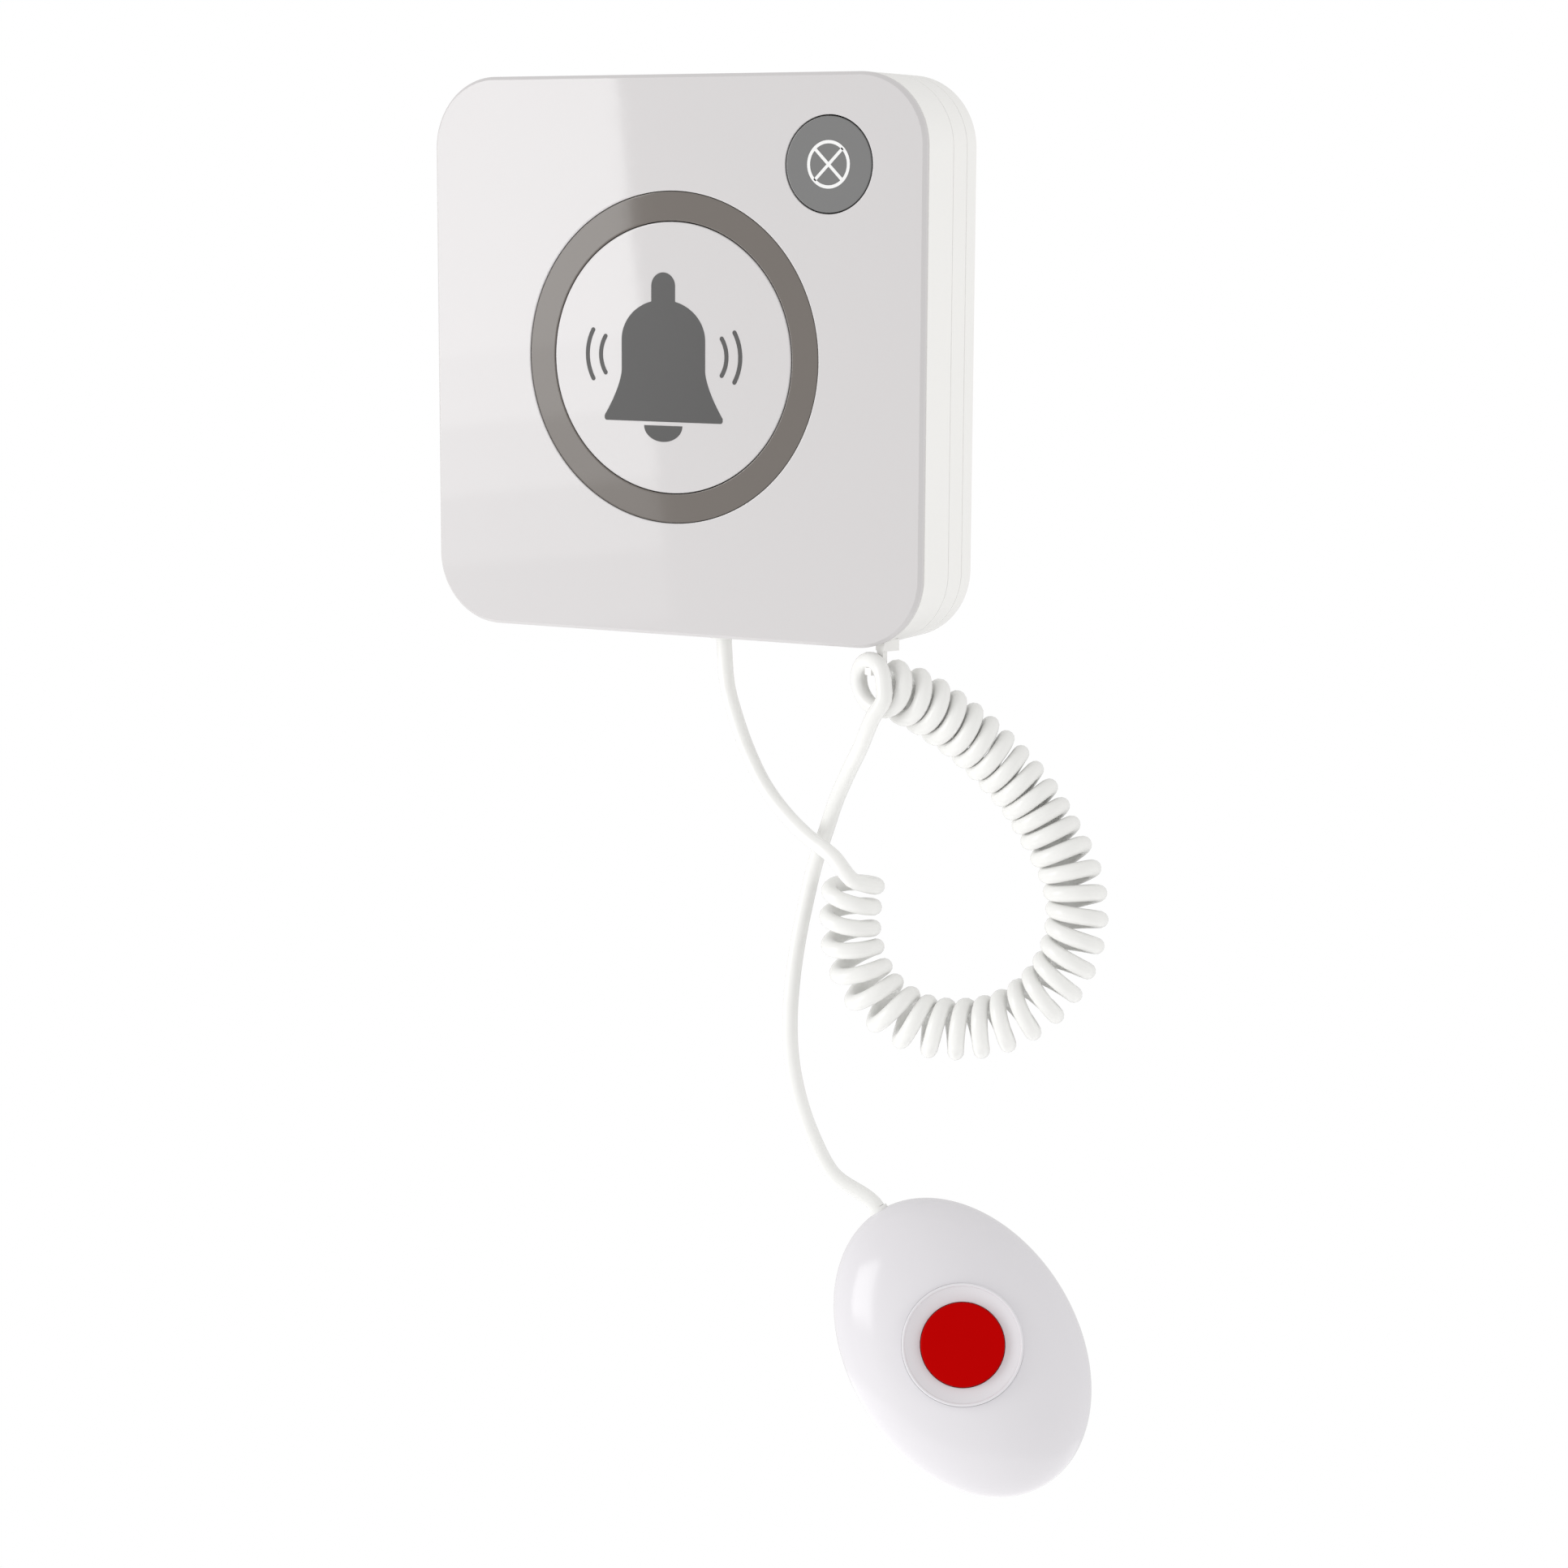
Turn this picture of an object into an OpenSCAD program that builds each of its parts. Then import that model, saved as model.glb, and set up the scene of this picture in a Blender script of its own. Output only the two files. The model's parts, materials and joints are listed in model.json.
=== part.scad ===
// Wall call unit with a corded pear push.
// X runs right, Y runs into the wall and Z runs up. The origin is the centre of the
// wall plate's back face. Pieces of the unit are drawn lying on their back, with Z as
// the depth from the wall, and on_wall() stands them up. The handset is drawn the same
// way round its own centre, with Y along its length and Z towards its button.

/* [Case] */
// Width of the square case
case_w = 86; // [80:0.5:96]
// Height of the square case
case_h = 86; // [80:0.5:96]
// Radius of the case's corners, seen from the front
corner_r = 11; // [8:0.5:13]
// Wall of the moulded shells
wall_t = 1.8; // [1.5:0.1:2.2]
// Depth of the wall plate
plate_d = 4.2; // [3.8:0.1:5]
// Depth of the rear case's outer band
rear_d = 4.8; // [4.6:0.1:5.6]
// Depth of the front cover
cover_d = 8.6; // [8.4:0.1:9.4]
// Thickness of the adhesive tape under the front panel
tape_t = 0.2; // [0.1:0.05:0.4]
// Thickness of the glossy front panel
panel_t = 1.2; // [1:0.1:1.6]
// Bevel round the front panel's face
panel_bevel = 0.5; // [0.2:0.1:0.8]

/* [Call button] */
// Outer diameter of the light ring
ring_d = 50.8; // [46:0.2:54]
// Inner diameter of the light ring
ring_bore_d = 41.9; // [38:0.1:43]
// Running gap round the push disc
disc_gap = 0.25; // [0.15:0.05:0.4]
// Thickness of the push disc
disc_t = 1.8; // [1.4:0.1:2]
// Travel of the push disc
call_travel = 1; // [0.5:0.1:1]

/* [Cancel button] */
// Diameter of the cancel button
cancel_d = 14.3; // [12:0.1:15]
// Travel of the cancel button
cancel_travel = 0.8; // [0.4:0.1:0.8]

/* [Bell pictogram] */
// Width of the bell's body
bell_w = 14.8; // [12:0.1:16]
// Width of the bell's flared mouth
bell_mouth_w = 21; // [18:0.1:22]
// Height from the mouth to the shoulder's top
bell_h = 18.7; // [15:0.1:19]
// Height of the mouth below the disc's centre
bell_drop = 9.8; // [8:0.1:10]
// Offset of the bell from the disc's centre
bell_x = -1.4; // [-2:0.1:2]
// Width of the lines in both pictograms' arcs
mark_stroke = 0.7; // [0.5:0.05:0.9]
// Thickness of the inlaid pictograms
mark_t = 0.35; // [0.2:0.05:0.5]

/* [Electronics] */
// Gap between the main board and the case's wall
board_gap = 1.55; // [1.3:0.05:4]
// Thickness of the main board
board_t = 1.6; // [1.2:0.1:1.7]
// Diameter of the coin cell
cell_d = 20; // [16:0.5:20]
// Thickness of the coin cell
cell_t = 3.2; // [2.5:0.1:3.2]
// Number of lamps under the light ring
led_count = 8; // [4:1:16]

/* [Wall mounting] */
// Spacing of the two wall screws
screw_spacing = 60; // [46:0.5:64]
// Diameter of the wall screw holes
screw_hole_d = 4.2; // [3.5:0.1:5]
// Travel of the unit when it is lifted off its hooks
lift_travel = 3.3; // [3.2:0.1:3.4]

/* [Handset] */
// Width of the handset
hs_w = 35.8; // [34:0.2:40]
// Length of the handset
hs_l = 49; // [46:0.5:54]
// Depth of the handset's front half, to its middle
hs_front = 11; // [10.8:0.1:12]
// Depth of the handset's rear half
hs_rear = 10.5; // [10:0.1:12]
// Wall of the handset's shells
hs_wall = 1.7; // [1.4:0.1:1.8]
// Outer diameter of the collar round the red button
collar_d = 18.6; // [18:0.1:19]
// Diameter of the red button
push_d = 12.8; // [12:0.1:13]
// Travel of the red button
push_travel = 1.2; // [0.6:0.1:1.2]

/* [Cord] */
// Diameter of the cord's straight leads
cord_d = 2.4; // [2:0.1:2.6]
// Diameter of the tube in the curly cord
curl_tube_d = 2; // [1.6:0.1:2]
// Radius of the curls, to the middle of the tube
curl_r = 3.55; // [3:0.05:3.8]
// Number of curls
curls = 33; // [33:1:33]

/* [Hidden] */
$fn = 96;

// Colours
white = [0.90, 0.90, 0.90];
facia_white = [0.84, 0.83, 0.84];
cord_white = [0.92, 0.93, 0.90];
shell_white = [0.82, 0.80, 0.83];
ring_grey = [0.55, 0.53, 0.50];
print_grey = [0.43, 0.43, 0.43];
button_grey = [0.52, 0.52, 0.52];
button_red = [0.70, 0.02, 0.02];
board_green = [0.10, 0.35, 0.20];
part_black = [0.10, 0.10, 0.11];
metal = [0.75, 0.75, 0.74];
tape_beige = [0.80, 0.74, 0.64];
lamp_cream = [0.95, 0.92, 0.75];

// Clearances and overruns
// One overrun serves every cut
over = 1;
// How far fused features reach into what carries them
fuse = 0.3;
seam = 0.15;
fit = 0.1;
shaft_fit = 0.08;
thread_fit = 0.05;
rest_gap = 0.2;

// Depths from the wall, in the order of the stack
rear_z0 = plate_d + seam;
rear_z1 = plate_d + rear_d;
cover_z1 = rear_z1 + cover_d;
tape_z1 = cover_z1 + tape_t;
face_z = tape_z1 + panel_t;
cover_in_z = cover_z1 - wall_t;
tape_in = 0.3;

// Wall plate and its hooks, with the hooks' places as shares of the case
plate_floor = 1.8;
plate_bevel = 1;
hook_share = [0.28, 0.23];
hook_w = 6;
hook_stem = 2;
hook_rise = 3;
hook_tip_t = 1.3;
floor_t = 1.5;
hook_in_z = rear_z0 + floor_t + seam;
hook_out_z = hook_in_z + hook_tip_t;
slot_y0 = -lift_travel - 2 * seam;
slot_y1 = hook_stem + seam;

// Rear case and the screws at its corners
lip_t = 1;
lip_h = 2;
rear_wall = wall_t + seam + lip_t;
boss_r = 2.8;
boss_in_share = 0.59;
boss_x = case_w / 2 - corner_r * boss_in_share;
boss_y = case_h / 2 - corner_r * boss_in_share;
pilot_r = 1;
screw_r = pilot_r - thread_fit;
case_screw_hole_r = 1.2;
case_head_r = 2;
case_head_h = 1.4;
case_seat = 2.4;
case_seat_z = rear_z0 + case_seat;
case_tip_short = 1.4;
case_screw_tip_z = cover_in_z - case_tip_short;
rear_post_r = 3.2;

// Main board and its posts, with the posts' places as shares of the board
board_w = case_w - 2 * (rear_wall + board_gap);
board_h = case_h - 2 * (rear_wall + board_gap);
board_rise = 4.75;
board_z0 = rear_z0 + floor_t + board_rise;
board_z1 = board_z0 + board_t;
board_r = 8;
board_notch = 0.6;
board_post_r = 2.5;
post_share = [[-0.43, 0], [0.43, 0], [-0.18, -0.43]];
board_screw_hole_r = 1.1;
board_head_r = 1.8;
board_head_h = 1;
board_screw_l = 4;

// Light ring and lamps
ring_r = ring_d / 2;
ring_bore_r = ring_bore_d / 2;
ring_front_z = face_z - fit;
ring_flange_h = 1.4;
ring_flange_w = 1.6;
ring_back_z = cover_in_z - ring_flange_h;
ring_flange_r = ring_r + ring_flange_w;
ring_chamfer = 0.3;
ring_hole_r = ring_r + fit;
led_w = 2.8;
led_l = 3.5;
led_h = 1.6;

// Push disc
disc_r = ring_bore_r - disc_gap;
disc_z0 = face_z - disc_t;
skirt_t = 1.5;
skirt_flange_w = 0.75;
skirt_flange_r = ring_bore_r + skirt_flange_w;
skirt_flange_h = 0.8;
skirt_z1 = ring_back_z - rest_gap;
skirt_z0 = skirt_z1 - skirt_flange_h;
call_boss_r = 2.5;
call_boss_h = 1.2;
call_boss_z = disc_z0 - call_boss_h;
call_switch_w = 12;
call_switch_top = call_boss_z - call_travel - fit;
plunger_r = 1.7;
plunger_in = 1;
call_plunger_z0 = call_switch_top - plunger_in;
disc_edge = 0.2;
// The lamps stand midway between the disc's flange and the ring's
led_r = (skirt_flange_r + ring_flange_r) / 2;

// Cancel button, with its place as shares of the way to the corner's centre
cancel_share = [0.844, 0.919];
cancel_x = (case_w / 2 - corner_r) * cancel_share.x;
cancel_y = (case_h / 2 - corner_r) * cancel_share.y;
cancel_r = cancel_d / 2;
cancel_hole_r = cancel_r + rest_gap;
cancel_flange_w = 0.95;
cancel_flange_r = cancel_r + cancel_flange_w;
cancel_flange_h = 1.1;
cancel_flange_z1 = cover_in_z - rest_gap;
cancel_flange_z0 = cancel_flange_z1 - cancel_flange_h;
cancel_switch_w = 4.5;
cancel_switch_top = cancel_flange_z0 - cancel_travel - rest_gap;
cancel_plunger_r = 1;
cancel_plunger_z0 = cancel_switch_top - fit;
cancel_mark_r = cancel_d / 4;
stroke_share = 0.7;
cancel_stroke = mark_stroke * stroke_share;
mark_proud = 0.05;

// Bell pictogram: heights as shares of the bell's height
bell_shoulder_share = 0.33;
bell_side_share = 0.42;
bell_lip_share = 0.08;
bell_foot_share = 0.02;
bell_corner_share = 0.03;
knob_share = 0.142;
clapper_share = [0.162, 0.134];
clapper_gap_share = 0.032;
wave_at_share = [0.285, 0.02];
wave_outer_share = 0.376;
wave_inner_share = 0.262;
wave_outer_a = 30;
wave_inner_a = 33;

// Coin cell, its holder and its clip, with the cell's place as a share of the board
cell_share = 0.182;
cell_y = board_h * cell_share;
cell_r = cell_d / 2;
cell_rise = 0.55;
cell_z0 = rear_z0 + floor_t + cell_rise;
holder_wall = 2;
holder_r = cell_r + holder_wall;
clip_w = 7;
clip_t = 0.3;

// Small pieces on the board, with their places as shares of it
buzzer_share = [-0.35, -0.35];
buzzer_r = 6;
buzzer_h = 3;
buzzer_port_r = 1;
radio_share = [0.35, -0.35];
radio_size = [16, 12, 1];
radio_can = [11, 9, 1.8];
antenna_r = 0.4;
antenna_y_share = -0.461;
antenna_x_shares = [-0.15, 0.286];
antenna_h = 0.7;
chip_share = [-0.35, 0.338];
chip_size = [7, 7, 1];
capacitor_shares = [[-0.24, 0.385], [-0.44, 0.22]];
capacitor_r = 2;
capacitor_h = 2.6;

// Cord entry into the case
cord_x = 4;
cord_z = rear_z1;
grommet_r = 2.5;
grommet_out = 1.2;
grommet_out_r = 2.2;
grommet_flange_r = 3;
grommet_flange_t = 1;
inner_lead_r = 1.1;
inner_lead_l = 2.5;
plug_w = 6;
plug_l = 3.5;
plug_t = 3;
nose_w = 4.8;
nose_l = 2.5;
nose_t = 2;
socket_wall = 1;
socket_l = 5;
plug_y0 = -case_h / 2 + rear_wall + grommet_flange_t + inner_lead_l;
socket_y0 = plug_y0 + plug_l;

// Handset: its place under the case, and its collar and button from the front inwards
hs_drop = 107.8;
hs_at = [51.2, -18, -case_h / 2 - hs_drop];
hs_turn = 25;
hs_pitch = -20;
hs_tilt = -32.5;
collar_r = collar_d / 2;
collar_lip_w = 0.5;
collar_h = 2.8;
collar_z1 = hs_front - fit;
collar_z0 = collar_z1 - collar_h;
collar_edge = 0.15;
dish_drop = 0.9;
push_r = push_d / 2;
push_gap = 0.2;
push_z1 = collar_z1 - rest_gap;
push_edge = 0.3;
push_flange_w = 0.95;
push_flange_r = push_r + push_flange_w;
push_flange_h = 0.8;
push_flange_z1 = collar_z0 - fit;
push_flange_z0 = push_flange_z1 - push_flange_h;
push_boss_r = 1.7;
push_boss_h = 1.8;
push_boss_z = push_flange_z0 - push_boss_h;
ledge_gap = 0.5;
ledge_r = push_flange_r + ledge_gap;
ledge_z0 = push_flange_z0 - push_travel - fit;
ledge_wall = 1.1;
ledge_out_r = collar_r + ledge_wall;

// Handset: board, switch, screws and cord, with places as shares of the egg's half axes
hs_board_share = [0.5, 0.41];
hs_board_w = hs_w * hs_board_share.x;
hs_board_l = hs_l * hs_board_share.y;
hs_board_t = 1.2;
hs_board_z1 = -0.8;
hs_switch_w = 6;
hs_switch_top = push_boss_z - push_travel - fit;
hs_plunger_r = 1.6;
hs_plunger_z0 = hs_switch_top - plunger_in;
hs_screw_shares = [[0, -0.69], [-0.45, 0.55], [0.45, 0.55]];
hs_boss_r = 2.3;
hs_post_r = 2.7;
hs_pilot_r = 0.8;
hs_screw_r = hs_pilot_r - thread_fit;
hs_screw_hole_r = 1;
hs_head_r = 1.7;
hs_head_h = 1.3;
hs_seat_z = -3.5;
hs_screw_tip_z = 3.6;
hs_boss_z = 4.4;
hs_board_post_r = 1.5;
hs_board_post_share = 0.33;
hs_grommet_r = 1.5;
hs_grommet_flange_r = 2.6;
hs_grommet_flange_t = 1;
hs_grommet_out = 0.4;
hs_grommet_in = 3.1;
hs_grommet_y1 = hs_l / 2 + hs_grommet_out;
hs_grommet_y0 = hs_l / 2 - hs_grommet_in;
hs_lead_r = 1.1;
clamp_w = 6;
clamp_l = 3;
clamp_share = 0.571;
clamp_y = hs_l / 2 * clamp_share;
clamp_z0 = -3;
clamp_z1 = 1.8;

// Cord hook under the case: a thin blade behind the last curl's top, with a lip under it
hook_stud_r = 0.7;
hook_stud_back = 1.3;
hook_arm_t = 0.8;
hook_arm_w = 1.6;
hook_back = 1.8;
hook_reach = 0.8;
hook_lip = 0.3;
hook_strand_gap = 0.4;
hook_base_t = 0.4;
hook_base_w = 2.2;
hook_base_end = 0.4;
hook_base_rise = 1.4;

// The cord's own frame is turned about Z, so that its middle value is the depth
cord_turn = 15;
cord_sides = 8;
curl_sides = 6;
curl_rings = 8;
// Route of the upper lead, from its exit down to the curls: right, depth, and up from the
// case's underside
upper_route = [[1.7, -9.9, -4], [2.3, -10.7, -8.5], [4.2, -12.6, -13.5], [7, -15, -19],
    [10.5, -18, -23.8], [14.2, -20.6, -27.3], [18.3, -23.4, -30.1], [22.9, -26.2, -32.5]];
// Axis of the curls, one point every two curls
curl_route = [[29.8, -23, -24.8], [26.8, -23, -32.2], [25.2, -23, -39.5], [25.4, -23, -47.1],
    [28.9, -23, -54.2], [35.4, -23, -58.6], [42.6, -23, -59.3], [49.5, -23, -57.6],
    [55.5, -22.9, -53.1], [59.1, -22.4, -47], [60.2, -21.9, -40.2], [58.8, -21.5, -33.7],
    [55.7, -21.2, -28], [52.4, -21.1, -22.9], [48.4, -21.3, -18.4], [44.1, -21.9, -14.3],
    [39.4, -23, -10.6], [34.3, -24.5, -7.4], [28.5, -26.7, -5.3], [22.9, -29, -3.6]];
// Route of the lower lead, from the last curl down to the handset
lower_route = [[29.3, -28.8, -10.4], [27, -26.2, -15.3], [24.4, -23.2, -20], [22.3, -21.6, -24.5],
    [20.5, -20.3, -29.5], [18.6, -19.4, -35], [17.2, -19.3, -41], [16.1, -19.7, -47],
    [15.4, -20.4, -53], [15.1, -21, -59], [15.5, -21.9, -65], [17, -23, -71.5],
    [19.5, -24.2, -77.5], [23, -25.4, -83]];
curl_start = 0.12;
curl_tail = 0.05;
curl_end = curls - curl_tail;
// Towards the hook the curls turn to the room and lean upright, each over its own stretch
ring_turn = 28;
turn_curls = 15;
turn_over = 18;
ring_lean = -15;
lean_curls = 17;
lean_over = 13;
// The axis of the last curl runs ahead and stops, so that it hangs as a flat ring
ahead_curls = 1.1;
stop_curls = 0.35;

// Vector helpers
function unit_of(v) = v / norm(v);
function turn_z(p, a) = [p.x * cos(a) - p.y * sin(a), p.x * sin(a) + p.y * cos(a), p.z];
function turn_x(p, a) = [p.x, p.y * cos(a) - p.z * sin(a), p.y * sin(a) + p.z * cos(a)];
function turn_y(p, a) = [p.x * cos(a) + p.z * sin(a), p.y, p.z * cos(a) - p.x * sin(a)];
function hs_dir(p) = turn_z(turn_x(turn_y(p, hs_tilt), hs_pitch), hs_turn);
function ease(x) = x <= 0 ? 0 : x >= 1 ? 1 : x * x * (3 - 2 * x);

// A smooth curve through route points, with t counted in points
function on_route(pts, t) = let (i = max(1, min(len(pts) - 3, floor(t))), f = t - i,
    a = pts[i - 1], b = pts[i], c = pts[i + 1], d = pts[i + 2])
    (2 * b + (c - a) * f + (2 * a - 5 * b + 4 * c - d) * f * f
        + (3 * b - a - 3 * c + d) * f * f * f) / 2;

// Curly cord: its axis, the frame across it, and the tube's middle, with s in curls
function axis_at(s) = on_route(curl_route, (s + 3) / 2);
function axis_dir(s) = unit_of(axis_at(s + 1 / 2) - axis_at(s - 1 / 2));
function axis_place(s) = let (run = ahead_curls - stop_curls, t = (s - curls + ahead_curls) / run)
    t <= 0 ? s : t >= 1 ? curls
        : curls - ahead_curls + run * t * (t - 1) * (t - 1) + ahead_curls * ease(t);
function turn_at(s) = ring_turn * ease((s - curls + turn_curls) / turn_over);
function lean_at(s) = ring_lean * ease((s - curls + lean_curls) / lean_over);
function along(s) = turn_z(turn_y(axis_dir(axis_place(s)), lean_at(s)), turn_at(s));
function to_front(s) = let (t = along(s)) unit_of([0, -1, 0] + t.y * t);
function radial(s) = let (f = to_front(s)) cos(360 * s) * f - sin(360 * s) * cross(along(s), f);
function curl_local(s) = axis_at(axis_place(s)) + curl_r * radial(s);
function from_case(p) = turn_z(p, cord_turn) - [0, 0, case_h / 2];
function curl_at(s) = from_case(curl_local(s));
function curl_dir(s) = let (h = 1 / 64) unit_of(curl_at(s + h) - curl_at(s - h));

curl_steps = curls * curl_rings;
curl_s = [for (i = [0:curl_steps]) curl_start + (curl_end - curl_start) * i / curl_steps];
curl_in_dir = curl_dir(curl_start);
curl_out_dir = curl_dir(curl_end);
curl_in = curl_at(curl_start) - curl_tube_d * curl_in_dir;
curl_out = curl_at(curl_end) + curl_tube_d * curl_out_dir;
cord_exit = [cord_x, -cord_z, -case_h / 2 - grommet_out];
cord_entry = hs_at + hs_dir([0, 0, hs_grommet_y1]);
ring_top = curl_at(curls - 1 / 4);
ring_dir = turn_z(along(curls - 1 / 4), cord_turn);
hook_dir_a = atan2(-ring_dir.y, -ring_dir.x);

// Least gap between curls, measured between the tube's middle points half a curl or more
// apart, with the straight end among them
gap_steps = 16;
gap_pts = concat([for (i = [0:curl_steps * gap_steps / curl_rings])
    curl_at(curl_start + (curl_end - curl_start) * i / (curls * gap_steps))],
    [for (f = [0.5, 1]) curl_at(curl_end) + f * curl_tube_d * curl_out_dir]);
function least_gap() = min([for (i = [0:len(gap_pts) - 1])
    for (j = [i + gap_steps / 2:min(len(gap_pts) - 1, i + 2 * gap_steps)])
        norm(gap_pts[i] - gap_pts[j])]) - curl_tube_d;

// Stands a piece of the unit up on the wall
module on_wall() {
    rotate([90, 0, 0]) children();
}

// Puts a piece of the handset in its hanging place
module in_handset() {
    translate(hs_at) rotate([0, 0, hs_turn]) rotate([hs_pitch, 0, 0]) rotate([0, hs_tilt, 0])
        rotate([90, 0, 0]) children();
}

// A rectangle with round corners, built from squares and circles
module round_rect(w, h, r) {
    square([w - 2 * r, h], center = true);
    square([w, h - 2 * r], center = true);
    for (x = [-1, 1], y = [-1, 1]) translate([x * (w / 2 - r), y * (h / 2 - r)]) circle(r = r);
}

// A slab of the case's outline, drawn in by inset, between two depths
module slab(inset, z0, z1) {
    translate([0, 0, z0]) linear_extrude(z1 - z0)
        round_rect(case_w - 2 * inset, case_h - 2 * inset, corner_r - inset);
}

// A bar of a bevelled slab: its section is h wide, and it is l long
module bevelled_bar(h, l, z0, z1, bevel) {
    rotate([90, 0, 90]) linear_extrude(l, center = true) polygon([
        [-h / 2, z0], [h / 2, z0], [h / 2, z1 - bevel], [h / 2 - bevel, z1],
        [bevel - h / 2, z1], [-h / 2, z1 - bevel]]);
}

// A slab of the case's outline with a bevel round its front
module bevelled_slab(z0, z1, bevel) {
    bevelled_bar(case_h, case_w - 2 * corner_r, z0, z1, bevel);
    rotate([0, 0, 90]) bevelled_bar(case_w, case_h - 2 * corner_r, z0, z1, bevel);
    for (x = [-1, 1], y = [-1, 1])
        translate([x * (case_w / 2 - corner_r), y * (case_h / 2 - corner_r), 0]) {
            rod(corner_r, z0, z1 - bevel);
            translate([0, 0, z1 - bevel]) cylinder(r1 = corner_r, r2 = corner_r - bevel, h = bevel);
        }
}

module rod(r, z0, z1) {
    translate([0, 0, z0]) cylinder(r = r, h = z1 - z0);
}

// A box centred on X and Y between two depths
module block(w, l, z0, z1) {
    translate([-w / 2, -l / 2, z0]) cube([w, l, z1 - z0]);
}

// A rod along Y, as leads and grommets lie
module rod_y(r, y0, y1) {
    translate([0, y1, 0]) rotate([90, 0, 0]) cylinder(r = r, h = y1 - y0);
}

module at_case_screws() {
    for (x = [-1, 1], y = [-1, 1]) translate([x * boss_x, y * boss_y, 0]) children();
}

module at_hooks() {
    for (x = [-1, 1], y = [-1, 1])
        translate([x * case_w * hook_share.x, y * case_h * hook_share.y, 0]) children();
}

// At a place on the main board that is given as shares of its size
module at_board(share) {
    translate([share.x * board_w, share.y * board_h, 0]) children();
}

module at_posts() {
    for (share = post_share) at_board(share) children();
}

module at_cancel() {
    translate([cancel_x, cancel_y, 0]) children();
}

module at_cord() {
    translate([cord_x, 0, cord_z]) children();
}

module at_hs_screws() {
    for (share = hs_screw_shares) translate([share.x * hs_w / 2, share.y * hs_l / 2, 0]) children();
}

// A tube swept along points, with a direction and a side vector at each
module sweep(pts, dirs, sides_at, r, n) {
    side = [for (i = [0:len(pts) - 1]) unit_of(sides_at[i] - (sides_at[i] * dirs[i]) * dirs[i])];
    verts = [for (i = [0:len(pts) - 1]) for (k = [0:n - 1])
        pts[i] + r * (cos(360 * k / n) * side[i] + sin(360 * k / n) * cross(dirs[i], side[i]))];
    last = (len(pts) - 1) * n;
    faces = concat(
        [for (i = [0:len(pts) - 2]) for (k = [0:n - 1]) let (k2 = (k + 1) % n)
            [i * n + k, (i + 1) * n + k, (i + 1) * n + k2]],
        [for (i = [0:len(pts) - 2]) for (k = [0:n - 1]) let (k2 = (k + 1) % n)
            [i * n + k, (i + 1) * n + k2, i * n + k2]],
        [for (k = [1:n - 2]) [0, k, k + 1]],
        [for (k = [1:n - 2]) [last, last + k + 1, last + k]]);
    polyhedron(points = verts, faces = faces, convexity = 10);
}

// A straight lead through its points, leaving and arriving in given directions
module lead(pts, first_dir, last_dir) {
    n = len(pts);
    between = [for (i = [1:n - 2]) unit_of(pts[i + 1] - pts[i - 1])];
    front = turn_z([0, -1, 0], cord_turn);
    sweep(pts, concat([first_dir], between, [last_dir]), [for (p = pts) front], cord_d / 2, cord_sides);
}

// The unit's shells

module wall_plate() {
    color(white) on_wall() difference() {
        union() {
            difference() {
                mirror([0, 0, 1]) bevelled_slab(-plate_d, 0, plate_bevel);
                slab(wall_t, plate_floor, plate_d + over);
            }
            at_hooks() {
                translate([-hook_w / 2, 0, plate_floor - fuse])
                    cube([hook_w, hook_stem, hook_out_z - plate_floor + fuse]);
                translate([-hook_w / 2, 0, hook_in_z])
                    cube([hook_w, hook_stem + hook_rise, hook_tip_t]);
            }
        }
        for (x = [-1, 1]) translate([x * screw_spacing / 2, 0, 0])
            rod(screw_hole_d / 2, -over, plate_floor + over);
    }
}

module rear_case() {
    color(white) on_wall() difference() {
        union() {
            difference() {
                union() {
                    slab(0, rear_z0, rear_z1);
                    slab(wall_t + seam, rear_z1 - fuse, rear_z1 + lip_h);
                }
                slab(rear_wall, rear_z0 + floor_t, rear_z1 + lip_h + over);
                at_case_screws() rod(boss_r + fit, rear_z1, rear_z1 + lip_h + over);
            }
            intersection() {
                at_case_screws() rod(rear_post_r, rear_z0, rear_z1);
                slab(wall_t, rear_z0, rear_z1);
            }
            at_posts() rod(board_post_r, rear_z0 + floor_t - fuse, board_z0);
        }
        at_case_screws() {
            rod(case_screw_hole_r, rear_z0 - over, rear_z1 + over);
            rod(case_head_r + rest_gap, rear_z0 - over, case_seat_z);
        }
        at_posts() rod(pilot_r, board_z0 - board_screw_l, board_z0 + over);
        at_hooks() translate([-hook_w / 2 - seam, slot_y0, rear_z0 - over])
            cube([hook_w + 2 * seam, slot_y1 - slot_y0, floor_t + 2 * over]);
        at_cord() rod_y(grommet_r + fit, -case_h / 2 - over, -case_h / 2 + rear_wall + over);
    }
}

module front_cover() {
    color(white) on_wall() difference() {
        union() {
            difference() {
                slab(0, rear_z1 + seam, cover_z1);
                slab(wall_t, rear_z1 + seam - over, cover_in_z);
            }
            intersection() {
                at_case_screws() rod(boss_r, rear_z1 + seam, cover_in_z + fuse);
                slab(0, rear_z1 + seam, cover_z1);
            }
        }
        at_case_screws() rod(pilot_r, rear_z1 + seam - over, case_screw_tip_z + fit);
        rod(ring_hole_r, cover_in_z - over, cover_z1 + over);
        at_cancel() rod(cancel_hole_r, cover_in_z - over, cover_z1 + over);
        at_cord() rod_y(grommet_r + fit, -case_h / 2 - over, -case_h / 2 + wall_t + over);
        stand_down() hook_stud_place() translate([0, 0, -over])
            cylinder(r = hook_stud_r + thread_fit, h = wall_t + 2 * over);
    }
}

// Lays a piece that is drawn standing back into the unit's lying frame
module stand_down() {
    rotate([-90, 0, 0]) children();
}

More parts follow.
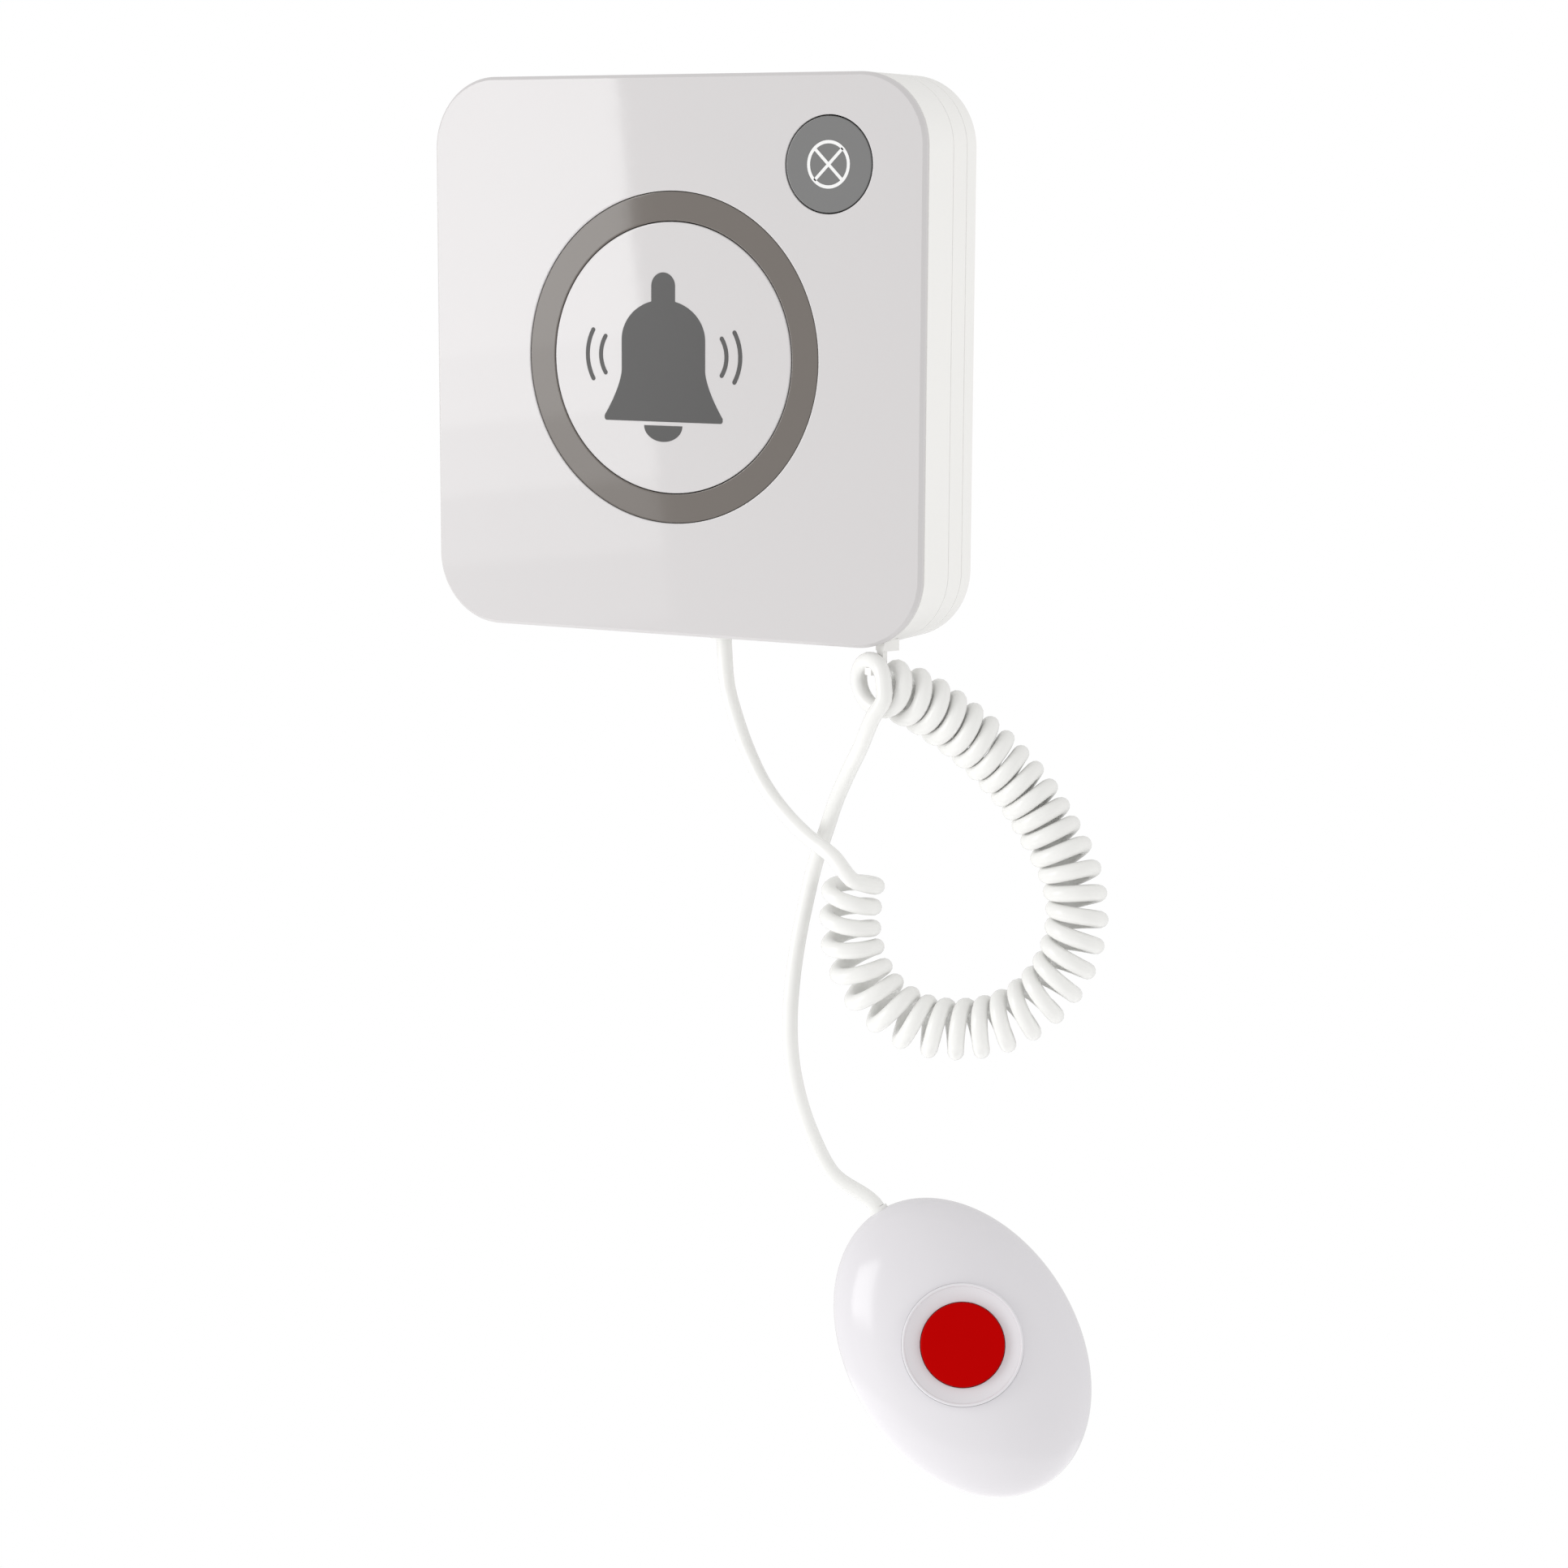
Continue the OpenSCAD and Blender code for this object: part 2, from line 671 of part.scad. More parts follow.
module panel_tape() {
    color(tape_beige) on_wall() difference() {
        slab(tape_in, cover_z1, tape_z1);
        rod(ring_hole_r + tape_in, cover_z1 - over, tape_z1 + over);
        at_cancel() rod(cancel_hole_r + tape_in, cover_z1 - over, tape_z1 + over);
    }
}

module front_panel() {
    color(facia_white) on_wall() difference() {
        bevelled_slab(tape_z1, face_z, panel_bevel);
        rod(ring_hole_r, tape_z1 - over, face_z + over);
        at_cancel() rod(cancel_hole_r, tape_z1 - over, face_z + over);
    }
}

module light_ring() {
    c = ring_chamfer;
    color(ring_grey) on_wall() rotate_extrude() polygon([
        [ring_bore_r, ring_back_z], [ring_flange_r, ring_back_z], [ring_flange_r, cover_in_z],
        [ring_r, cover_in_z], [ring_r, ring_front_z - c], [ring_r - c, ring_front_z],
        [ring_bore_r + c, ring_front_z], [ring_bore_r, ring_front_z - c]]);
}

// The call button and its pictogram

function ellipse_pts(rx, ry, a0, a1, n) =
    [for (i = [0:n]) let (a = a0 + (a1 - a0) * i / n) [rx * cos(a), ry * sin(a)]];

module wave(r, half) {
    steps = 12;
    polygon(concat(ellipse_pts(r, r, -half, half, steps),
        ellipse_pts(r - mark_stroke, r - mark_stroke, half, -half, steps)));
}

// Right half of the bell's body and knob, from the top down to the mouth: the knob's half
// circle, the shoulder's ellipse, the straight side, the flare and the foot
function bell_right() = let (
    top_y = bell_h - bell_drop,
    shoulder_h = bell_h * bell_shoulder_share,
    side_y = top_y - shoulder_h,
    flare_y = -bell_drop + bell_h * bell_side_share,
    lip_y = -bell_drop + bell_h * bell_lip_share,
    knob_r = bell_w * knob_share,
    knob_a = acos(2 * knob_share))
    concat(
        [for (p = ellipse_pts(knob_r, knob_r, 90, 0, 8)) [p.x, p.y + top_y + knob_r]],
        [for (p = ellipse_pts(bell_w / 2, shoulder_h, knob_a, 0, 12)) [p.x, p.y + side_y]],
        [for (i = [0:6]) let (f = i / 6)
            [bell_w / 2 + (bell_mouth_w - bell_w) / 2 * f * f, flare_y + (lip_y - flare_y) * f]],
        [[bell_mouth_w / 2, -bell_drop + bell_h * bell_foot_share],
            [bell_mouth_w / 2 - bell_h * bell_corner_share, -bell_drop]]);

// The bell seen from the front: body with its knob, clapper and waves
module bell_outline() {
    right = bell_right();
    n = len(right);
    translate([bell_x, 0]) {
        polygon(concat(right, [for (i = [n - 1:-1:1]) [-right[i].x, right[i].y]]));
        translate([0, -bell_drop - bell_h * clapper_gap_share])
            polygon(ellipse_pts(bell_mouth_w * clapper_share.x, bell_h * clapper_share.y, 0, -180, 16));
        for (m = [0, 1]) mirror([m, 0])
            translate([bell_mouth_w * wave_at_share.x, bell_h * wave_at_share.y]) {
                wave(bell_mouth_w * wave_outer_share, wave_outer_a);
                wave(bell_mouth_w * wave_inner_share, wave_inner_a);
            }
    }
}

module call_button() {
    color(facia_white) on_wall() difference() {
        union() {
            rotate_extrude() polygon([
                [0, disc_z0], [disc_r - skirt_t, disc_z0], [disc_r - skirt_t, skirt_z0],
                [skirt_flange_r, skirt_z0], [skirt_flange_r, skirt_z1], [disc_r, skirt_z1],
                [disc_r, face_z - disc_edge], [disc_r - disc_edge, face_z], [0, face_z]]);
            rod(call_boss_r, call_boss_z, disc_z0 + fuse);
        }
        translate([0, 0, face_z - mark_t + mark_proud]) linear_extrude(over) bell_outline();
    }
}

module bell_mark() {
    color(print_grey) on_wall() translate([0, 0, face_z - mark_t + mark_proud])
        linear_extrude(mark_t) bell_outline();
}

module call_plunger() {
    color(part_black) on_wall() rod(plunger_r, call_plunger_z0, call_boss_z);
}

module call_switch() {
    color(part_black) on_wall() difference() {
        block(call_switch_w, call_switch_w, board_z1, call_switch_top);
        rod(plunger_r + shaft_fit, call_plunger_z0 - call_travel - fit, call_switch_top + over);
    }
}

// The cancel button and its pictogram

module cancel_outline() {
    difference() {
        circle(r = cancel_mark_r);
        circle(r = cancel_mark_r - cancel_stroke);
    }
    for (a = [-45, 45]) rotate(a) square([2 * cancel_mark_r - cancel_stroke, cancel_stroke], center = true);
}

module cancel_button() {
    color(button_grey) on_wall() at_cancel() difference() {
        rotate_extrude() polygon([
            [0, cancel_flange_z0], [cancel_flange_r, cancel_flange_z0],
            [cancel_flange_r, cancel_flange_z1], [cancel_r, cancel_flange_z1],
            [cancel_r, face_z - disc_edge], [cancel_r - disc_edge, face_z], [0, face_z]]);
        translate([0, 0, face_z - mark_t + mark_proud]) linear_extrude(over) cancel_outline();
    }
}

module cancel_mark() {
    color(white) on_wall() at_cancel() translate([0, 0, face_z - mark_t + mark_proud])
        linear_extrude(mark_t) cancel_outline();
}

module cancel_plunger() {
    color(part_black) on_wall() at_cancel()
        rod(cancel_plunger_r, cancel_plunger_z0, cancel_flange_z0);
}

module cancel_switch() {
    color(part_black) on_wall() at_cancel() difference() {
        block(cancel_switch_w, cancel_switch_w, board_z1, cancel_switch_top);
        rod(cancel_plunger_r + shaft_fit, cancel_plunger_z0 - cancel_travel - fit, cancel_switch_top + over);
    }
}

// The board and what it carries

module main_board() {
    color(board_green) on_wall() difference() {
        translate([0, 0, board_z0]) linear_extrude(board_t) round_rect(board_w, board_h, board_r);
        at_case_screws() rod(boss_r + board_notch, board_z0 - over, board_z1 + over);
        at_posts() rod(board_screw_hole_r, board_z0 - over, board_z1 + over);
    }
}

module board_parts() {
    color(part_black) on_wall() {
        at_board(chip_share) block(chip_size.x, chip_size.y, board_z1, board_z1 + chip_size.z);
        for (share = capacitor_shares) at_board(share)
            rod(capacitor_r, board_z1, board_z1 + capacitor_h);
    }
}

module status_leds() {
    color(lamp_cream) on_wall() for (i = [0:led_count - 1]) rotate([0, 0, 360 * (i + 0.5) / led_count])
        translate([led_r, 0, 0]) block(led_w, led_l, board_z1, board_z1 + led_h);
}

module buzzer() {
    color(part_black) on_wall() at_board(buzzer_share) difference() {
        rod(buzzer_r, board_z1, board_z1 + buzzer_h);
        rod(buzzer_port_r, board_z1 + buzzer_h / 2, board_z1 + buzzer_h + over);
    }
}

module radio_module() {
    color(metal) on_wall() at_board(radio_share) {
        block(radio_size.x, radio_size.y, board_z1, board_z1 + radio_size.z);
        block(radio_can.x, radio_can.y, board_z1 + radio_size.z - fuse,
            board_z1 + radio_size.z + radio_can.z);
    }
}

module antenna() {
    z = board_z1 + antenna_h;
    y = board_h * antenna_y_share;
    ends = board_w * antenna_x_shares;
    foot_y = board_h * radio_share.y - radio_size.y / 2;
    color(metal) on_wall() {
        translate([ends[0], y, z]) rotate([0, 90, 0]) cylinder(r = antenna_r, h = ends[1] - ends[0]);
        translate([ends[1], y, z]) sphere(r = antenna_r);
        translate([ends[1], 0, z]) rod_y(antenna_r, y, foot_y);
    }
}

module battery() {
    color(metal) on_wall() translate([0, cell_y, 0]) rod(cell_r, cell_z0, cell_z0 + cell_t);
}

module battery_holder() {
    color(part_black) on_wall() translate([0, cell_y, 0]) difference() {
        rod(holder_r, cell_z0, board_z0);
        rod(cell_r + fit, cell_z0 - over, cell_z0 + cell_t);
    }
}

module battery_clip() {
    z0 = cell_z0 - fit - clip_t;
    reach = holder_r + fit + clip_t;
    color(metal) on_wall() translate([0, cell_y, 0]) {
        block(clip_w, 2 * reach, z0, z0 + clip_t);
        for (s = [-1, 1]) translate([0, s * (reach - clip_t / 2), 0]) block(clip_w, clip_t, z0, board_z0);
    }
}

module board_screws() {
    color(metal) on_wall() at_posts() {
        rod(board_head_r, board_z1, board_z1 + board_head_h);
        rod(screw_r, board_z0 - board_screw_l + fit, board_z1 + fuse);
    }
}

module case_screws() {
    color(metal) on_wall() at_case_screws() {
        rod(case_head_r, case_seat_z - case_head_h, case_seat_z);
        rod(screw_r, case_seat_z - fuse, case_screw_tip_z);
    }
}

// The cord's entry, plug and socket

module cord_grommet() {
    bottom = -case_h / 2;
    inner = bottom + rear_wall;
    color(cord_white) on_wall() at_cord() {
        rod_y(grommet_out_r, bottom - grommet_out, bottom);
        rod_y(grommet_r, bottom, inner);
        rod_y(grommet_flange_r, inner, inner + grommet_flange_t);
    }
}

module inner_lead() {
    color(cord_white) on_wall() at_cord()
        rod_y(inner_lead_r, -case_h / 2 + rear_wall + grommet_flange_t, plug_y0);
}

module cord_plug() {
    color(white) on_wall() at_cord() {
        translate([-plug_w / 2, plug_y0, -plug_t / 2]) cube([plug_w, plug_l, plug_t]);
        translate([-nose_w / 2, socket_y0 - fuse, -nose_t / 2]) cube([nose_w, nose_l + fuse, nose_t]);
    }
}

module cord_socket() {
    mouth_w = nose_w + 2 * fit;
    socket_w = mouth_w + 2 * socket_wall;
    mouth_z0 = cord_z - nose_t / 2 - fit;
    color(white) on_wall() translate([cord_x, 0, 0]) difference() {
        translate([-socket_w / 2, socket_y0, mouth_z0 - socket_wall])
            cube([socket_w, socket_l, board_z0 - mouth_z0 + socket_wall]);
        translate([-mouth_w / 2, socket_y0 - over, mouth_z0])
            cube([mouth_w, nose_l + over + fit, nose_t + 2 * fit]);
    }
}

// Places the cord hook's root on the case's underside, behind the last curl's top
module hook_place() {
    translate([ring_top.x, ring_top.y, -case_h / 2]) rotate([0, 0, hook_dir_a])
        translate([hook_back, 0, 0]) children();
}

module hook_stud_place() {
    hook_place() translate([hook_stud_back, 0, 0]) children();
}

module cord_hook() {
    drop = -case_h / 2 - ring_top.z + curl_tube_d / 2 + hook_strand_gap;
    color(white) hook_stud_place() translate([0, 0, -fuse]) cylinder(r = hook_stud_r, h = wall_t + fuse);
    color(white) hook_place() {
        translate([-hook_arm_t / 2, -hook_arm_w / 2, -drop - hook_arm_t])
            cube([hook_arm_t, hook_arm_w, drop + hook_arm_t]);
        translate([-hook_back - hook_reach, -hook_arm_w / 2, -drop - hook_arm_t])
            cube([hook_back + hook_reach, hook_arm_w, hook_arm_t]);
        translate([-hook_back - hook_reach, -hook_arm_w / 2, -drop - hook_arm_t])
            cube([hook_arm_t / 2, hook_arm_w, hook_arm_t + hook_lip]);
    }
    // The base follows the case's rounded corner
    color(white) difference() {
        hook_place() translate([-hook_arm_t / 2, -hook_base_w / 2, -hook_base_t])
            cube([hook_arm_t / 2 + hook_stud_back + hook_stud_r + hook_base_end, hook_base_w,
                hook_base_t + hook_base_rise]);
        on_wall() slab(0, rear_z1, face_z);
    }
}

// The cord

module cord_upper() {
    pts = concat([cord_exit], [for (p = upper_route) from_case(p)], [curl_in]);
    color(cord_white) lead(pts, [0, 0, -1], curl_in_dir);
}

module cord_coil() {
    mid = [for (s = curl_s) curl_at(s)];
    dirs = [for (s = curl_s) curl_dir(s)];
    out = [for (s = curl_s) turn_z(radial(s), cord_turn)];
    n = len(curl_s) - 1;
    echo(least_curl_gap = least_gap());
    color(cord_white) sweep(concat([curl_in], mid, [curl_out]), concat([dirs[0]], dirs, [dirs[n]]),
        concat([out[0]], out, [out[n]]), curl_tube_d / 2, curl_sides);
}

module cord_lower() {
    pts = concat([curl_out], [for (p = lower_route) from_case(p)], [cord_entry]);
    color(cord_white) lead(pts, curl_out_dir, hs_dir([0, 0, -1]));
}

// The handset

// An egg of the handset's outline, drawn in by inset, with its own front and rear depth
module egg(inset, depth) {
    scale([hs_w / 2 - inset, hs_l / 2 - inset, depth - inset]) sphere(r = 1);
}

// The half of the handset in front of its seam, or behind it
module front_half() {
    translate([-hs_w, -hs_l, 0]) cube([2 * hs_w, 2 * hs_l, 2 * hs_front]);
}

module rear_half() {
    translate([-hs_w, -hs_l, -2 * hs_rear]) cube([2 * hs_w, 2 * hs_l, 2 * hs_rear]);
}

module handset_front_shell() {
    color(shell_white) in_handset() difference() {
        union() {
            intersection() {
                difference() {
                    egg(0, hs_front);
                    egg(hs_wall, hs_front);
                }
                front_half();
            }
            intersection() {
                egg(hs_wall / 2, hs_front);
                union() {
                    rod(ledge_out_r, ledge_z0, hs_front);
                    at_hs_screws() rod(hs_boss_r, 0, hs_front);
                }
            }
        }
        rod(ledge_r, ledge_z0 - over, hs_front + over);
        rod(collar_r + fit, collar_z0, hs_front + over);
        at_hs_screws() rod(hs_pilot_r, -over, hs_boss_z);
        rod_y(hs_grommet_r + fit, hs_grommet_y0, hs_grommet_y1 + over);
    }
}

module handset_rear_shell() {
    color(shell_white) in_handset() difference() {
        union() {
            intersection() {
                difference() {
                    egg(0, hs_rear);
                    egg(hs_wall, hs_rear);
                }
                rear_half();
            }
            intersection() {
                egg(hs_wall / 2, hs_rear);
                union() {
                    at_hs_screws() rod(hs_post_r, -hs_rear, 0);
                    for (x = [-1, 1], y = [-1, 1])
                        translate(hs_board_post_share * [x * hs_board_w, y * hs_board_l, 0])
                            rod(hs_board_post_r, -hs_rear, hs_board_z1 - hs_board_t);
                    translate([0, clamp_y + clamp_l / 2, 0]) block(clamp_w, clamp_l, -hs_rear, clamp_z0);
                }
            }
        }
        at_hs_screws() {
            rod(hs_screw_hole_r, -hs_rear, over);
            rod(hs_head_r + fit, -hs_rear - over, hs_seat_z);
        }
        rod_y(hs_grommet_r + fit, hs_grommet_y0, hs_grommet_y1 + over);
    }
}

module handset_collar() {
    in_r = push_r + push_gap;
    lip_r = collar_r - collar_lip_w;
    dish = [for (i = [0:6]) let (f = i / 6)
        [lip_r + (in_r - lip_r) * f, collar_z1 - dish_drop * sin(90 * f)]];
    color(shell_white) in_handset() rotate_extrude() polygon(concat(
        [[in_r, collar_z0], [collar_r, collar_z0], [collar_r, collar_z1 - collar_edge],
            [collar_r - collar_edge, collar_z1]], dish));
}

module handset_button() {
    color(button_red) in_handset() {
        rotate_extrude() polygon([
            [0, push_flange_z0], [push_flange_r, push_flange_z0],
            [push_flange_r, push_flange_z1], [push_r, push_flange_z1], [push_r, push_z1 - push_edge],
            [push_r - push_edge, push_z1], [0, push_z1]]);
        rod(push_boss_r, push_boss_z, push_flange_z0 + fuse);
    }
}

module handset_plunger() {
    color(part_black) in_handset() rod(hs_plunger_r, hs_plunger_z0, push_boss_z);
}

module handset_switch() {
    color(part_black) in_handset() difference() {
        block(hs_switch_w, hs_switch_w, hs_board_z1, hs_switch_top);
        rod(hs_plunger_r + shaft_fit, hs_plunger_z0 - push_travel - fit, hs_switch_top + over);
    }
}

module handset_board() {
    color(board_green) in_handset() block(hs_board_w, hs_board_l, hs_board_z1 - hs_board_t, hs_board_z1);
}

module handset_grommet() {
    color(cord_white) in_handset() {
        rod_y(hs_grommet_r, hs_grommet_y0 - fuse, hs_grommet_y1);
        rod_y(hs_grommet_flange_r, hs_grommet_y0 - hs_grommet_flange_t, hs_grommet_y0);
    }
}

module handset_lead() {
    color(cord_white) in_handset()
        rod_y(hs_lead_r, hs_board_l / 2, hs_grommet_y0 - hs_grommet_flange_t);
}

module handset_clamp() {
    color(white) in_handset() difference() {
        translate([0, clamp_y + clamp_l / 2, 0]) block(clamp_w, clamp_l, clamp_z0, clamp_z1);
        rod_y(hs_lead_r + fit / 2, clamp_y - over, clamp_y + clamp_l + over);
    }
}

module handset_screws() {
    color(metal) in_handset() at_hs_screws() {
        rod(hs_head_r, hs_seat_z - hs_head_h, hs_seat_z);
        rod(hs_screw_r, hs_seat_z - fuse, hs_screw_tip_z);
    }
}

wall_plate();
rear_case();
front_cover();
panel_tape();
front_panel();
light_ring();
call_button();
bell_mark();
call_plunger();
call_switch();
cancel_button();
cancel_mark();
cancel_plunger();
cancel_switch();
main_board();
board_parts();
status_leds();
buzzer();
radio_module();
antenna();
battery();
battery_holder();
battery_clip();
board_screws();
case_screws();
cord_grommet();
inner_lead();
cord_plug();
cord_socket();
cord_hook();
cord_upper();
cord_coil();
cord_lower();
handset_grommet();
handset_lead();
handset_clamp();
handset_front_shell();
handset_rear_shell();
handset_collar();
handset_button();
handset_plunger();
handset_switch();
handset_board();
handset_screws();
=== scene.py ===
# Wall call unit with a corded pear push.
# Surfaces are worked out with numpy in metres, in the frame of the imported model:
# X to the right, Y into the wall and Z up.
import json
import math

import bmesh
import bpy
import numpy as np
from mathutils import Matrix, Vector
from mathutils.geometry import tessellate_polygon


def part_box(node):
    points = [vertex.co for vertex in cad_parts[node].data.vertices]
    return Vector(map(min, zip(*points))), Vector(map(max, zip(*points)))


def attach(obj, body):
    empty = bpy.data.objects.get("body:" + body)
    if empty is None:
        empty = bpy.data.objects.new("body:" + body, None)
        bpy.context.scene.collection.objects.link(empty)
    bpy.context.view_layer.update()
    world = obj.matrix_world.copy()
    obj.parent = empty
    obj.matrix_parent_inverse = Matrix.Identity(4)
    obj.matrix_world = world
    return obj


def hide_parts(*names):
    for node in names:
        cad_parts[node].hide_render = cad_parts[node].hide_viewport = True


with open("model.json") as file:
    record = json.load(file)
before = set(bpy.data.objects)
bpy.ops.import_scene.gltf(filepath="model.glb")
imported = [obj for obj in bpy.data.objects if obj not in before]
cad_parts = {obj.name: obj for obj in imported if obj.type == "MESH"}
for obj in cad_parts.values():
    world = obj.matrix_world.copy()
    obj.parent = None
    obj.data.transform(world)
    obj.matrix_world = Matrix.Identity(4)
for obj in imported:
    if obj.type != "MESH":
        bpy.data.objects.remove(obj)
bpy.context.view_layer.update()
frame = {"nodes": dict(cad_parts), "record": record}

bl_info = {
    "name": "Wall call unit with pear push",
    "version": (1, 0, 0),
    "blender": (4, 5, 0),
    "location": "View3D > Sidebar > Call Unit",
    "description": "Builds the shells, buttons, curly cord and handset of a wall call unit",
    "category": "Object",
}

MM = 0.001


def span(node, axis):
    """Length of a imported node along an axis, in metres."""
    low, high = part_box(node)
    return high[axis] - low[axis]


# Sizes and colours that a user would change

def measure(name, description, default):
    """A length property with its default, in metres."""
    return bpy.props.FloatProperty(name=name, description=description, default=default, unit="LENGTH")


class CallUnitSizes(bpy.types.PropertyGroup):
    """Sizes of the call unit, its cord and its handset"""
    case_width: measure("Case width", "Width of the square case", span("front_cover", 0))
    case_height: measure("Case height", "Height of the square case", span("front_cover", 2))
    corner_radius: measure("Corner radius", "Radius of the case's corners, seen from the front", 11 * MM)
    wall: measure("Wall", "Wall thickness of the case's shells", 1.8 * MM)
    edge_round: measure("Edge round", "Radius of the shells' moulded edges at the seams", 0.15 * MM)
    facia_bevel: measure("Facia bevel", "Width of the polished bevel round the facia", 0.5 * MM)
    ring_outer: measure("Ring outer diameter", "Outer diameter of the light ring's face", 50.8 * MM)
    ring_inner: measure("Ring inner diameter", "Inner diameter of the light ring's face", 41.9 * MM)
    cancel_diameter: measure("Cancel diameter", "Diameter of the small cancel button", 14.3 * MM)
    cord_diameter: measure("Cord diameter", "Diameter of the cord's straight leads", 2.45 * MM)
    curl_cord_diameter: measure("Curl cord diameter", "Diameter of the cord in its curls", 2.6 * MM)
    handset_width: measure("Handset width", "Width of the egg-shaped handset", 35.8 * MM)
    handset_length: measure("Handset length", "Length of the egg-shaped handset", 49 * MM)
    push_diameter: measure("Push diameter", "Diameter of the red push button", 12.8 * MM)


def colour(name, description, value):
    """A colour property with its default, as red, green and blue."""
    return bpy.props.FloatVectorProperty(
        name=name, description=description, default=value, size=3, subtype="COLOR", min=0, max=1)


class CallUnitColours(bpy.types.PropertyGroup):
    """Colours of the call unit, its cord and its handset"""
    case: colour("Case", "Moulded plastic of the case's shells", (0.87, 0.865, 0.85))
    facia: colour("Facia", "Polished front panel and push disc", (0.60, 0.585, 0.59))
    ring: colour("Ring", "Smoked light ring", (0.148, 0.132, 0.12))
    print_grey: colour("Grey print", "Ink of the bell pictogram", (0.066, 0.065, 0.065))
    print_white: colour("White print", "Ink of the cancel pictogram", (0.80, 0.80, 0.80))
    cancel: colour("Cancel button", "Plastic of the cancel button", (0.176, 0.176, 0.176))
    tape: colour("Tape", "Adhesive tape under the facia", (0.62, 0.52, 0.38))
    cord: colour("Cord", "Sheath of the cord", (0.845, 0.845, 0.83))
    handset: colour("Handset", "Polished shells of the handset", (0.72, 0.705, 0.735))
    red_button: colour("Red button", "Plastic of the handset's push button", (0.46, 0.0, 0.0))
    board: colour("Board", "Solder mask of the circuit boards", (0.02, 0.13, 0.06))
    black_part: colour("Black parts", "Moulded switches, holder and chips", (0.018, 0.018, 0.019))
    lamp: colour("Lamps", "Phosphor of the lamps", (0.85, 0.78, 0.42))
    tin: colour("Tin", "Tinned metal of the radio and aerial", (0.68, 0.68, 0.66))
    steel: colour("Steel", "Plated screws, cell and clip", (0.60, 0.60, 0.59))


def sizes():
    """The sizes in the panel."""
    return bpy.context.scene.call_unit_sizes


def colours():
    """The colours in the panel."""
    return bpy.context.scene.call_unit_colours


# Depths from the wall, in the order of the stack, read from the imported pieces

def front_of(node):
    """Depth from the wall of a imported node's front face, in metres."""
    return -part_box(node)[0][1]


def back_of(node):
    """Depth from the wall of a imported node's back face, in metres."""
    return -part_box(node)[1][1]


PLATE_FRONT = 4.2 * MM
REAR_BACK = back_of("rear_case")
REAR_FRONT = 9 * MM
COVER_BACK = back_of("front_cover")
COVER_FRONT = front_of("front_cover")
FACIA_BACK = back_of("front_panel")
FACE = front_of("front_panel")
CANCEL_AT = ((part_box("cancel_button")[0][0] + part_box("cancel_button")[1][0]) / 2,
             (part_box("cancel_button")[0][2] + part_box("cancel_button")[1][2]) / 2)


# Points round circles of three sizes, and the measures of holes

WIDE_ROUND = 192
MEDIUM_ROUND = 96
SMALL_ROUND = 48
HOLE_LAND = 0.6 * MM
SLOT_STEPS = 4
SLOT_SUPPORT = 0.3 * MM
RING_HOLE = 25.5 * MM
CANCEL_HOLE = 7.35 * MM


# Mesh building

class Solid:
    """Gathers grids and caps, welds them into one closed mesh and makes an object of it."""

    WELD = 1e-7
    SHARP = math.radians(35)

    def __init__(self, name):
        self.name = name
        self.points = []
        self.faces = []
        self.count = 0

    def add_points(self, points):
        """Adds an array of points and returns the index of the first one."""
        first = self.count
        self.points.append(points.reshape(-1, 3))
        self.count += points.size // 3
        return first

    def grid(self, points, wrap_rows=False, wrap_columns=False):
        """Joins a grid of points, rows by columns, with quads between neighbours."""
        rows, columns = points.shape[:2]
        first = self.add_points(points)
        r = np.arange(rows if wrap_rows else rows - 1)[:, None]
        c = np.arange(columns if wrap_columns else columns - 1)[None, :]
        r2 = (r + 1) % rows
        c2 = (c + 1) % columns
        quads = np.stack([r * columns + c, r * columns + c2, r2 * columns + c2, r2 * columns + c], axis=-1)
        self.faces += (quads.reshape(-1, 4) + first).tolist()

    def cap(self, loops):
        """Closes a flat area between an outer loop and any holes in it with triangles."""
        flat = np.concatenate(loops)
        first = self.add_points(flat)
        self.faces += [[first + i for i in triangle] for triangle in tessellate_polygon(loops)]

    def fan(self, loop):
        """Closes a small loop with one face."""
        first = self.add_points(loop)
        self.faces.append(list(range(first, first + len(loop))))

    def barrel(self, rows):
        """Joins rows of points round, with one face over the first row and one over the last."""
        self.grid(rows, wrap_columns=True)
        self.fan(rows[0])
        self.fan(rows[-1])

    def build(self):
        """Welds what coincides, points the faces outwards and returns an object.

        It is shaded smooth but for edges where the faces turn by more than 35 degrees.
        """
        mesh = bpy.data.meshes.new(self.name)
        mesh.from_pydata(np.concatenate(self.points).tolist(), [], self.faces)
        work = bmesh.new()
        work.from_mesh(mesh)
        bmesh.ops.remove_doubles(work, verts=work.verts, dist=self.WELD)
        bmesh.ops.recalc_face_normals(work, faces=work.faces)
        work.to_mesh(mesh)
        work.free()
        mesh.shade_smooth()
        mesh.set_sharp_from_angle(angle=self.SHARP)
        piece = bpy.data.objects.new(self.name, mesh)
        bpy.context.scene.collection.objects.link(piece)
        return piece


def dress(piece, body, slot, *nodes):
    """Gives a piece its body and its slot's material, and hides the imported nodes it stands for."""
    piece.data.materials.append(finish_for(slot))
    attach(piece, body)
    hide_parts(*nodes)


# Profiles and outlines

